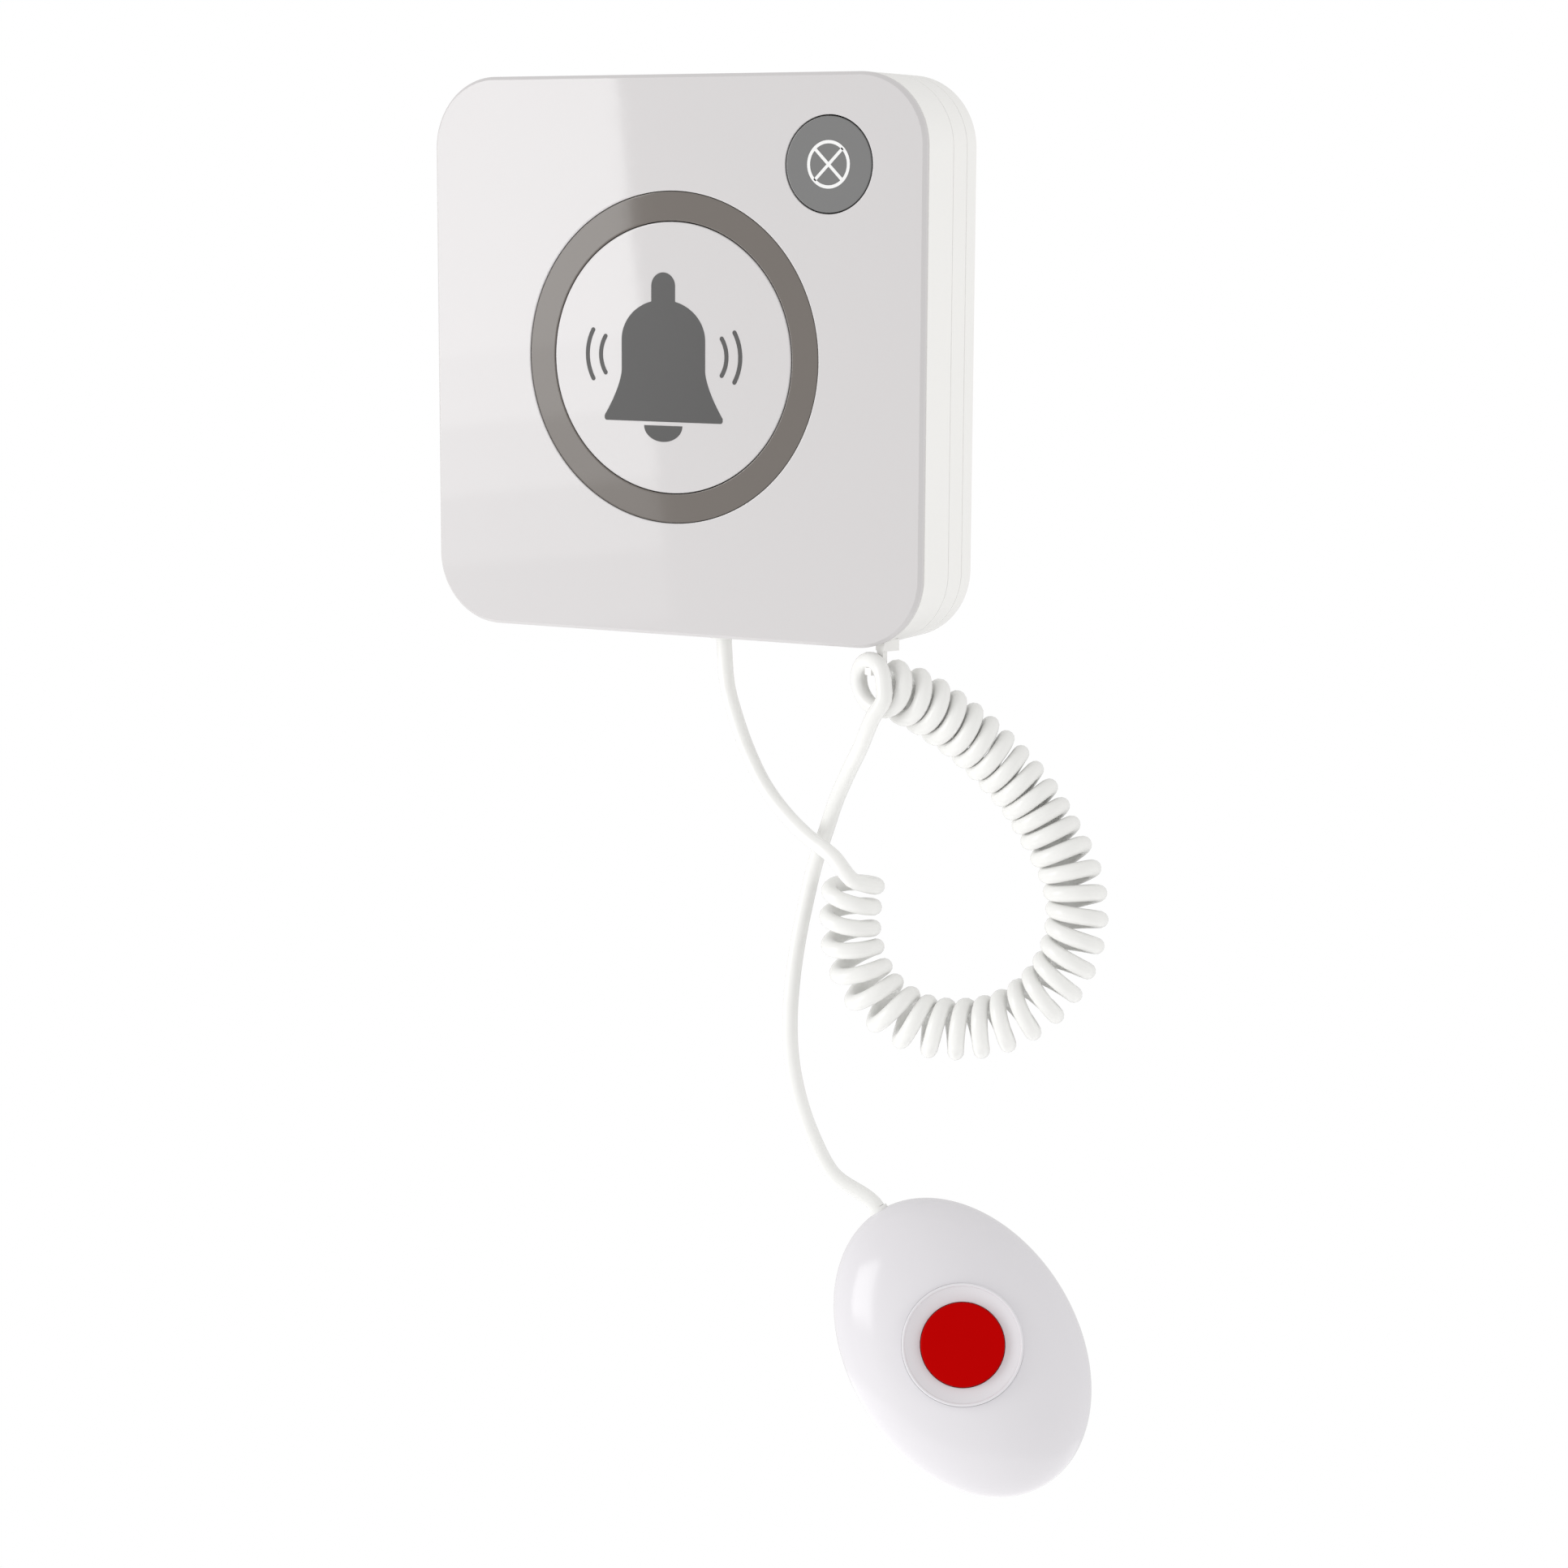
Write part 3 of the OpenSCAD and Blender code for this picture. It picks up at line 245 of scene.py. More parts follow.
def rounded_path(corners, radii, steps=5, support=0.12 * MM):
    """A path through corners, each rounded by an arc of its radius.

    A corner with radius r is replaced by steps + 1 points on the circle that touches both
    sides. A point just outside each arc keeps the flat sides flat when they are smoothed.
    """
    corners = [np.array(c, float) for c in corners]
    path = [corners[0]]
    for before, corner, after, radius in zip(corners, corners[1:], corners[2:], radii[1:]):
        to_before = (before - corner) / np.linalg.norm(before - corner)
        to_after = (after - corner) / np.linalg.norm(after - corner)
        half = math.acos(np.clip(to_before @ to_after, -1, 1)) / 2
        reach = radius / math.tan(half)
        between = (to_before + to_after) / np.linalg.norm(to_before + to_after)
        centre = corner + between * radius / math.sin(half)
        start = corner + to_before * reach - centre
        end = corner + to_after * reach - centre
        sign = np.sign(start[0] * end[1] - start[1] * end[0])
        angles = np.linspace(0, math.pi - 2 * half, steps + 1) * sign
        path.append(corner + to_before * (reach + support))
        path += [centre + np.array([start[0] * math.cos(a) - start[1] * math.sin(a),
                                    start[0] * math.sin(a) + start[1] * math.cos(a)]) for a in angles]
        path.append(corner + to_after * (reach + support))
    path.append(corners[-1])
    return np.array(path)


def pairs(x, y):
    """Points as rows of (x, y), from an array of each."""
    return np.stack([x, y], axis=-1)


def circle(radius, count):
    """Points on a circle as (x, y): radius times cosine and sine of the angle."""
    a = np.linspace(0, 2 * math.pi, count, endpoint=False)
    return radius * pairs(np.cos(a), np.sin(a))


def rounded_rectangle(width, height, radius, steps=20, support=0.5 * MM):
    """Outline of a rectangle with round corners, with the outward direction at each point.

    Each corner is a quarter circle about its own centre. Two points on each straight side,
    near its ends, keep that side flat when it is smoothed.
    """
    points, normals = [], []
    for quarter, (sx, sy) in enumerate(((1, 1), (-1, 1), (-1, -1), (1, -1))):
        centre = np.array([sx * (width / 2 - radius), sy * (height / 2 - radius)])
        a = quarter * math.pi / 2 + np.linspace(0, math.pi / 2, steps + 1)
        out = pairs(np.cos(a), np.sin(a))
        first = centre + radius * out[0] - support * np.array([-out[0][1], out[0][0]])
        last = centre + radius * out[-1] + support * np.array([-out[-1][1], out[-1][0]])
        points += [first[None], centre + radius * out, last[None]]
        normals += [out[:1], out, out[-1:]]
    return np.concatenate(points), np.concatenate(normals)


def stand(points):
    """Stands points drawn lying, as (x, y, depth), up on the wall as (x, -depth, y)."""
    return np.stack([points[..., 0], -points[..., 2], points[..., 1]], axis=-1)


def carry(outline, normals, profile):
    """Carries a profile of (inset, depth) along an outline: each row is one profile point."""
    inset = profile[:, 0][:, None, None]
    flat = outline[None] - inset * normals[None]
    depth = np.broadcast_to(profile[:, 1][:, None, None], flat.shape[:2] + (1,))
    return stand(np.concatenate([flat, depth], axis=-1))


def revolve(profile, count, centre=(0, 0)):
    """Turns a profile of (radius, depth) about the depth axis through centre."""
    ring = circle(1, count)
    flat = profile[:, 0][:, None, None] * ring[None] + np.array(centre)
    depth = np.broadcast_to(profile[:, 1][:, None, None], flat.shape[:2] + (1,))
    return np.concatenate([flat, depth], axis=-1)


def add_disc(solid, profile, count, centre=(0, 0), place=stand):
    """Adds a turned shape whose profile starts and ends beside the axis; a face closes each end."""
    solid.barrel(place(revolve(profile, count, centre)))


def add_hoop(solid, profile, count, centre=(0, 0), place=stand):
    """Adds a turned shape whose profile closes on itself, such as a ring."""
    solid.grid(place(revolve(profile, count, centre)), wrap_rows=True, wrap_columns=True)


def hole_profile(edge, back, front):
    """A hole's wall as (distance out from the bore, depth), with a rounded edge at both faces."""
    return rounded_path([(HOLE_LAND, front), (0, front), (0, back), (HOLE_LAND, back)], [0, edge, edge, 0])


def round_hole(centre, radius, edge, back, front, count=SMALL_ROUND):
    """A round hole through a slab as (outline, normals, profile)."""
    return circle(radius, count) + np.array(centre), -circle(1, count), hole_profile(edge, back, front)


def slot_hole(centre, width, height, edge, back, front):
    """A rectangular hole through a slab with small round corners, given as a round hole is."""
    outline, normals = rounded_rectangle(width, height, edge, SLOT_STEPS, SLOT_SUPPORT)
    return outline + np.array(centre), -normals, hole_profile(edge, back, front)


def face_holes(edge, back, front):
    """The holes for the ring and the cancel button, through the front cover or the facia."""
    return [round_hole((0, 0), RING_HOLE, edge, back, front, WIDE_ROUND),
            round_hole(CANCEL_AT, CANCEL_HOLE, edge, back, front, MEDIUM_ROUND)]


def slab_with_holes(name, outline, normals, profile, holes):
    """A closed shell: its profile runs from the front face round the side to the back face.

    The flat faces between the profile's first and last rows and the holes are caps.
    """
    solid = Solid(name)
    side = carry(outline, normals, profile)
    walls = [carry(*hole) for hole in holes]
    solid.grid(side, wrap_columns=True)
    for wall in walls:
        solid.grid(wall, wrap_columns=True)
    for row in (0, -1):
        solid.cap([side[row]] + [wall[row] for wall in walls])
    return solid


PRINT_EDGE = 0.02 * MM


def add_prism(solid, loop, back, front, edge=PRINT_EDGE):
    """Extrudes an outline from one depth to another, with a narrow chamfer at the front."""
    ahead = np.roll(loop, -1, axis=0) - loop
    behind = loop - np.roll(loop, 1, axis=0)
    mean = unit(ahead / np.linalg.norm(ahead, axis=1, keepdims=True)
                + behind / np.linalg.norm(behind, axis=1, keepdims=True))
    area = np.sum(loop[:, 0] * np.roll(loop[:, 1], -1) - np.roll(loop[:, 0], -1) * loop[:, 1])
    inward = np.stack([-mean[:, 1], mean[:, 0]], axis=-1) * np.sign(area)
    rows = [(loop, back), (loop, front - edge), (loop + inward * edge, front)]
    grid = stand(np.stack([np.column_stack([flat, np.full(len(flat), z)]) for flat, z in rows]))
    solid.grid(grid, wrap_columns=True)
    solid.cap([grid[0]])
    solid.cap([grid[-1]])


# Cord route, repeated from the construction in its own turned frame

CORD_TURN = math.radians(15)
CASE_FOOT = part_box("front_cover")[0][2]
CORD_EXIT = np.array([4 * MM, -REAR_FRONT, CASE_FOOT - 1.2 * MM])
UPPER_ROUTE = [[1.7, -9.9, -4], [2.3, -10.7, -8.5], [4.2, -12.6, -13.5], [7, -15, -19],
               [10.5, -18, -23.8], [14.2, -20.6, -27.3], [18.3, -23.4, -30.1], [22.9, -26.2, -32.5]]
CURL_ROUTE = [[29.8, -23, -24.8], [26.8, -23, -32.2], [25.2, -23, -39.5], [25.4, -23, -47.1],
              [28.9, -23, -54.2], [35.4, -23, -58.6], [42.6, -23, -59.3], [49.5, -23, -57.6],
              [55.5, -22.9, -53.1], [59.1, -22.4, -47], [60.2, -21.9, -40.2], [58.8, -21.5, -33.7],
              [55.7, -21.2, -28], [52.4, -21.1, -22.9], [48.4, -21.3, -18.4], [44.1, -21.9, -14.3],
              [39.4, -23, -10.6], [34.3, -24.5, -7.4], [28.5, -26.7, -5.3], [22.9, -29, -3.6]]
LOWER_ROUTE = [[29.3, -28.8, -10.4], [27, -26.2, -15.3], [24.4, -23.2, -20], [22.3, -21.6, -24.5],
               [20.5, -20.3, -29.5], [18.6, -19.4, -35], [17.2, -19.3, -41], [16.1, -19.7, -47],
               [15.4, -20.4, -53], [15.1, -21, -59], [15.5, -21.9, -65], [17, -23, -71.5],
               [19.5, -24.2, -77.5], [23, -25.4, -83]]
CURLS = 33
CURL_RADIUS = 3.55
CURL_START = 0.12
CURL_TAIL = 0.05
CURL_END = CURLS - CURL_TAIL
CURL_TUBE = 2
RING_TURN = math.radians(28)
TURN_CURLS = 15
TURN_OVER = 18
RING_LEAN = math.radians(-15)
LEAN_CURLS = 17
LEAN_OVER = 13
AHEAD_CURLS = 1.1
STOP_CURLS = 0.35
RINGS_PER_CURL = 28
CURL_NEAR = 0.01
CURLS_PER_POINT = 2
CURLS_BEFORE = 3
AXIS_NEAR = 0.5
LEAD_SPACING = 0.9 * MM


def turn(points, angle, first, second):
    """Turns points from one axis towards another; the angle may be one number or one a point."""
    c, s = np.cos(angle), np.sin(angle)
    turned = points.copy()
    turned[..., first] = points[..., first] * c - points[..., second] * s
    turned[..., second] = points[..., first] * s + points[..., second] * c
    return turned


def unit(vectors):
    """The same directions with a length of one."""
    return vectors / np.linalg.norm(vectors, axis=-1, keepdims=True)


def from_case(points):
    """Turns route points into the model's frame, with heights from the case's underside."""
    return turn(np.array(points, float), CORD_TURN, 0, 1) * MM + np.array([0, 0, CASE_FOOT])


def on_route(route, t):
    """A smooth curve through the route's points: the Catmull-Rom cubic between each two."""
    route = np.array(route, float)
    i = np.clip(np.floor(t).astype(int), 1, len(route) - 3)
    f = (t - i)[:, None]
    a, b, c, d = route[i - 1], route[i], route[i + 1], route[i + 2]
    square, cube = 2 * a - 5 * b + 4 * c - d, 3 * b - a - 3 * c + d
    return (2 * b + (c - a) * f + square * f ** 2 + cube * f ** 3) / 2


def ease(x):
    """Rises smoothly from 0 to 1 as x does, and stays there outside."""
    x = np.clip(x, 0, 1)
    return x * x * (3 - 2 * x)


def axis_place(s):
    """Place along the axis at s curls: the last curl's runs ahead and stops, to leave a flat ring."""
    run = AHEAD_CURLS - STOP_CURLS
    t = np.clip((s - CURLS + AHEAD_CURLS) / run, 0, 1)
    last = CURLS - AHEAD_CURLS + run * t * (t - 1) ** 2 + AHEAD_CURLS * ease(t)
    return np.where(s < CURLS - AHEAD_CURLS, s, last)


def axis_point(place):
    """A point of the curls' axis; its route has a point every two curls and starts before them."""
    return on_route(CURL_ROUTE, (place + CURLS_BEFORE) / CURLS_PER_POINT)


def curl_frame(s):
    """Axis point and outward direction at s curls.

    The outward direction turns once a curl about the axis. Towards the hook the curls turn to
    the room and lean upright, by angles that ease in over the last curls.
    """
    place = axis_place(s)
    axis = axis_point(place)
    along = unit(axis_point(place + AXIS_NEAR) - axis_point(place - AXIS_NEAR))
    along = turn(along, RING_LEAN * ease((s - CURLS + LEAN_CURLS) / LEAN_OVER), 2, 0)
    along = turn(along, RING_TURN * ease((s - CURLS + TURN_CURLS) / TURN_OVER), 0, 1)
    front = unit(np.array([0, -1, 0]) + along[:, 1:2] * along)
    a = (2 * math.pi * s)[:, None]
    return axis, np.cos(a) * front - np.sin(a) * np.cross(along, front)


def curl_points(s):
    """Middle of the cord at s curls: the axis point plus the curl's radius outwards."""
    axis, out = curl_frame(s)
    return from_case(axis + CURL_RADIUS * out)


def smooth_line(points, first_dir, last_dir):
    """A smooth curve through a lead's points that leaves and arrives in given directions.

    Each stretch is a Hermite cubic. The slope at a point is the mean of the directions
    behind and ahead of it, each weighted by the length of the other stretch.
    """
    chord = np.linalg.norm(np.diff(points, axis=0), axis=1)
    ahead = np.diff(points, axis=0) / chord[:, None]
    behind_share = (chord[1:] / (chord[1:] + chord[:-1]))[:, None]
    slopes = np.zeros_like(points)
    slopes[1:-1] = ahead[:-1] * behind_share + ahead[1:] * (1 - behind_share)
    slopes[0], slopes[-1] = first_dir, last_dir
    line = []
    for i, length in enumerate(chord):
        f = np.linspace(0, 1, max(2, int(length / LEAD_SPACING)), endpoint=False)[:, None]
        first, second = 2 * f ** 3 - 3 * f ** 2 + 1, 3 * f ** 2 - 2 * f ** 3
        leave, arrive = (f ** 3 - 2 * f ** 2 + f) * length, (f ** 3 - f ** 2) * length
        line.append(points[i] * first + slopes[i] * leave
                    + points[i + 1] * second + slopes[i + 1] * arrive)
    line.append(points[-1:])
    return np.concatenate(line)


def curl_way(s):
    """Direction of the cord at s curls, from a point just before to one just after."""
    near = curl_points(np.array([s - CURL_NEAR, s + CURL_NEAR]))
    return unit(near[1] - near[0])


def cord_path():
    """The whole cord's middle line, and how far each point belongs to the curls."""
    count = round((CURL_END - CURL_START) * RINGS_PER_CURL) + 1
    curls = curl_points(np.linspace(CURL_START, CURL_END, count))
    start_dir, end_dir = curl_way(CURL_START), curl_way(CURL_END)
    curl_in = curls[0] - CURL_TUBE * MM * start_dir
    curl_out = curls[-1] + CURL_TUBE * MM * end_dir
    down = np.array([0, 0, -1.0])
    entry = in_handset(np.array([0, HANDSET_ENTRY, 0]))
    into = handset_matrix() @ np.array([0, -1.0, 0])
    upper = smooth_line(np.array([CORD_EXIT, *from_case(UPPER_ROUTE), curl_in]), down, start_dir)
    lower = smooth_line(np.array([curl_out, *from_case(LOWER_ROUTE), entry]), end_dir, into)
    share = np.concatenate([np.zeros(len(upper)), np.ones(len(curls)), np.zeros(len(lower))])
    return np.concatenate([upper, curls, lower]), share


FIRST_SIDE = (0.3, 1, 0.2)


def tube(name, path, radii, sides):
    """A closed tube along a path, with a radius at each point and flat ends.

    Each ring lies square to the path. Its side direction is carried along without twist by
    taking away the part of the last one that lies along the path.
    """
    along = unit(np.gradient(path, axis=0))
    side = np.zeros_like(path)
    side[0] = unit(np.cross(along[0], FIRST_SIDE))
    for i in range(1, len(path)):
        side[i] = unit(side[i - 1] - (side[i - 1] @ along[i]) * along[i])
    over = np.cross(along, side)
    a = np.linspace(0, 2 * math.pi, sides, endpoint=False)
    rings = path[:, None] + radii[:, None, None] * (
        np.cos(a)[None, :, None] * side[:, None] + np.sin(a)[None, :, None] * over[:, None])
    solid = Solid(name)
    solid.barrel(rings)
    return solid.build()


# Handset placing

HANDSET_AT = np.array([51.2 * MM, -18 * MM, CASE_FOOT - 107.8 * MM])
HANDSET_TURN = 25
HANDSET_PITCH = -20
HANDSET_TILT = -32.5
HANDSET_ENTRY = 24.9 * MM
HANDSET_FRONT = 11 * MM
HANDSET_REAR = 10.5 * MM
HANDSET_WALL = 1.7 * MM
COLLAR_FRONT = 10.9 * MM
COLLAR_BACK = 8.1 * MM
COLLAR_RADIUS = 9.3 * MM
PUSH_FRONT = 10.7 * MM


def handset_matrix():
    """Turn of the handset: about X by a quarter, then tilt, pitch and turn."""
    turned = Matrix.Identity(3)
    for angle, axis in ((HANDSET_TURN, "Z"), (HANDSET_PITCH, "X"), (HANDSET_TILT, "Y"), (90, "X")):
        turned = turned @ Matrix.Rotation(math.radians(angle), 3, axis)
    return np.array(turned)


def in_handset(points):
    """Puts points drawn in the handset's own frame in its hanging place."""
    return points @ handset_matrix().T + HANDSET_AT


# Materials

class Value:
    """A number socket in a node tree; each operator adds one Math node."""

    def __init__(self, finish, socket):
        self.finish = finish
        self.socket = socket

    def maths(self, operation, other):
        return self.finish.node("ShaderNodeMath", {"operation": operation}, {0: self, 1: other})

    def __add__(self, other):
        return self.maths("ADD", other)

    def __mul__(self, other):
        return self.maths("MULTIPLY", other)

    __radd__ = __add__
    __rmul__ = __mul__


class Finish:
    """One material: a Principled shader and the nodes that feed it."""

    def __init__(self, name):
        self.material = bpy.data.materials.new(name)
        self.material.use_nodes = True
        self.tree = self.material.node_tree
        self.shader = self.tree.nodes["Principled BSDF"]
        self.place = self.node("ShaderNodeTexCoord", output="Object")

    def node(self, kind, settings=None, inputs=None, output=0):
        """Adds a node, sets its settings, then its inputs, and returns one output."""
        node = self.tree.nodes.new(kind)
        for key, value in (settings or {}).items():
            if key == "stops":
                self.set_stops(node.color_ramp, value)
            else:
                setattr(node, key, value)
        for key, value in (inputs or {}).items():
            self.feed(node.inputs[key], value)
        return Value(self, node.outputs[output])

    def set_stops(self, ramp, stops):
        """Fills a ramp with grey stops of (position, brightness)."""
        while len(ramp.elements) < len(stops):
            ramp.elements.new(1)
        for element, (position, value) in zip(ramp.elements, stops):
            element.position = position
            element.color = (value, value, value, 1)

    def feed(self, socket, value):
        """Links a value to a socket, or sets the socket to a plain number or colour."""
        if isinstance(value, Value):
            self.tree.links.new(value.socket, socket)
        else:
            socket.default_value = value

    def set(self, **inputs):
        """Sets or links the shader's sockets, named with underscores for spaces."""
        for key, value in inputs.items():
            self.feed(self.shader.inputs[key.replace("_", " ")], value)

    def noise(self, scale, detail=2, coarse=0.5, place=None):
        """Smooth noise from 0 to 1 over the object, with scale counted per metre."""
        return self.node("ShaderNodeTexNoise", {}, {
            "Vector": place or self.place, "Scale": scale, "Detail": detail, "Roughness": coarse})

    def stretched(self, factors):
        """Object coordinates with each axis scaled by its own factor."""
        return self.node("ShaderNodeVectorMath", {"operation": "MULTIPLY"}, {0: self.place, 1: factors})

    def stops(self, value, *stops):
        """Reads a value through a ramp of (position, brightness) stops."""
        return self.node("ShaderNodeValToRGB", {"stops": stops}, {0: value})

    def mix(self, share, first, second):
        """Mixes two colours by a share; the node's colour sockets are inputs 6 and 7 and output 2."""
        return self.node("ShaderNodeMix", {"data_type": "RGBA"}, {0: share, 6: first, 7: second}, output=2)

    def bump(self, height, distance, normal=None):
        """A normal from a height, with the distance in metres that a height of 1 stands for."""
        inputs = {"Height": height, "Distance": distance}
        if normal:
            inputs["Normal"] = normal
        return self.node("ShaderNodeBump", {}, inputs, output="Normal")


def shade(colour, factor):
    """A colour made darker or lighter by a factor, with an alpha of one."""
    return tuple(min(1, c * factor) for c in colour) + (1,)


PLASTIC_SPREAD = 0.05


def moulded_plastic(name, colour, roughness, grain=0.004, drift=0.02, wave=0.006, gloss=0.5):
    """Moulded plastic with a slow drift of colour, fine grain and faint sink waves.

    grain and wave are heights in millimetres of the fine and the slow bump. gloss is how
    strongly the surface mirrors when seen straight on, with 0.5 for common plastic.
    """
    finish = Finish(name)
    slow = finish.noise(scale=55, detail=3)
    fine = finish.noise(scale=5200, coarse=0.6)
    mid = finish.noise(scale=700, detail=3, coarse=0.6)
    tone = slow * 0.7 + fine * 0.3
    base = finish.mix(tone, shade(colour, 1 - drift), shade(colour, 1 + drift))
    rough = mid * PLASTIC_SPREAD + (roughness - PLASTIC_SPREAD / 2)
    gentle = finish.bump(finish.noise(scale=120), wave * MM)
    normal = finish.bump(fine, grain * MM, gentle)
    finish.set(Base_Color=base, Roughness=rough, Normal=normal, Specular_IOR_Level=gloss)
    return finish


def cord_sheath(name, colour):
    """Extruded sheath: satin, with fine die lines, slow unevenness and handled dirt."""
    finish = Finish(name)
    fine = finish.noise(scale=3800, detail=3, coarse=0.65)
    slow = finish.noise(scale=90, detail=3)
    lines = finish.noise(scale=2200, place=finish.stretched((1, 1, 0.08)))
    base = finish.mix(slow, shade(colour, 0.965), shade(colour, 1.02))
    dirt = finish.stops(finish.noise(scale=420, detail=4, coarse=0.7), (0.6, 0), (0.85, 0.25))
    base = finish.mix(dirt, base, shade(colour, 0.86))
    normal = finish.bump(fine + lines, 0.006 * MM)
    finish.set(Base_Color=base, Roughness=fine * 0.1 + 0.2, Normal=normal)
    return finish


def grained(name, colour, scale, detail, tones, roughness, height, coarse=0.7, stretch=None):
    """An even film or mass whose grain sets its colour, its roughness and a bump.

    tones and roughness each run from a low to a high value with the grain. height is the
    bump's in millimetres, and stretch, if given, scales the grain along each axis.
    """
    finish = Finish(name)
    grain = finish.noise(scale, detail, coarse, stretch and finish.stretched(stretch))
    low, high = roughness
    finish.set(Base_Color=finish.mix(grain, shade(colour, tones[0]), shade(colour, tones[1])),
               Roughness=grain * (high - low) + low, Normal=finish.bump(grain, height * MM))
    return finish


def circuit_board(name, colour):
    """Solder mask over copper tracks: tracks stand proud and lighter in a grid of cells."""
    finish = Finish(name)
    cells = finish.node("ShaderNodeTexVoronoi", {"feature": "DISTANCE_TO_EDGE", "distance": "MANHATTAN"},
                        {"Vector": finish.place, "Scale": 420}, output="Distance")
    tracks = finish.stops(cells, (0.04, 1), (0.07, 0))
    base = finish.mix(tracks, shade(colour, 0.8), shade(colour, 1.9))
    rough = finish.noise(scale=1500) * 0.1 + 0.28
    finish.set(Base_Color=base, Roughness=rough, Normal=finish.bump(tracks, 0.03 * MM))
    return finish


def plated_metal(name, colour, roughness):
    """Plated sheet or wire: metal with a fine brushed bump and faint tarnish."""
    finish = Finish(name)
    brushed = finish.noise(scale=3000, detail=3, coarse=0.6, place=finish.stretched((0.06, 1, 1)))
    tarnish = finish.noise(scale=260, detail=4, coarse=0.6)
    base = finish.mix(tarnish, shade(colour, 0.86), shade(colour, 1.05))
    finish.set(Base_Color=base, Metallic=1.0, Roughness=tarnish * 0.12 + roughness,
               Normal=finish.bump(brushed, 0.004 * MM))
    return finish


INK = dict(scale=9000, detail=2, tones=(0.94, 1.06), roughness=(0.3, 0.38), height=0.004)
PHOSPHOR = dict(scale=6000, detail=3, tones=(0.9, 1.1), roughness=(0.4, 0.55), height=0.004, coarse=0.5)
ADHESIVE = dict(scale=2600, detail=4, tones=(0.8, 1.15), roughness=(0.7, 0.8), height=0.02,
                stretch=(0.2, 1, 0.2))

# For each slot: what makes it, its material's name, its colour in the panel, and its settings
MAKERS = {
    "case": (moulded_plastic, "case_plastic", "case", dict(roughness=0.26)),
    "facia": (moulded_plastic, "facia_polished", "facia",
              dict(roughness=0.035, grain=0.0003, drift=0.008, wave=0.004)),
    "ring": (moulded_plastic, "ring_smoked", "ring",
             dict(roughness=0.045, grain=0.0003, drift=0.02, wave=0.002)),
    "print_grey": (grained, "grey_ink", "print_grey", INK),
    "print_white": (grained, "white_ink", "print_white", INK),
    "cancel": (moulded_plastic, "cancel_plastic", "cancel",
               dict(roughness=0.12, grain=0.0008, drift=0.03)),
    "tape": (grained, "tape_edge", "tape", ADHESIVE),
    "cord": (cord_sheath, "cord_sheath", "cord", {}),
    "grommet": (cord_sheath, "grommet_soft", "cord", {}),
    "handset": (moulded_plastic, "handset_polished", "handset",
                dict(roughness=0.17, grain=0.0006, drift=0.012, wave=0.003)),
    "red_button": (moulded_plastic, "red_plastic", "red_button",
                   dict(roughness=0.35, grain=0.001, drift=0.05, gloss=0.02)),
    "board": (circuit_board, "board_mask", "board", {}),
    "black_part": (moulded_plastic, "black_moulding", "black_part",
                   dict(roughness=0.42, grain=0.006, drift=0.1)),
    "lamp": (grained, "lamp_phosphor", "lamp", PHOSPHOR),
    "tin": (plated_metal, "tinned_metal", "tin", dict(roughness=0.3)),
    "steel": (plated_metal, "plated_steel", "steel", dict(roughness=0.22)),
}
FINISHES = {}


def finish_for(slot):
    """The material of a slot, made once from the colours in the panel."""
    if slot not in FINISHES:
        maker, name, tint, settings = MAKERS[slot]
        FINISHES[slot] = maker(name, getattr(colours(), tint), **settings).material
    return FINISHES[slot]


# Operators

def placed(right, up, back, at):
    """Matrix of an object that stands at a place with its X, Y and Z axes along these directions."""
    return Matrix([(right[i], up[i], back[i], at[i]) for i in range(3)] + [(0, 0, 0, 1)])


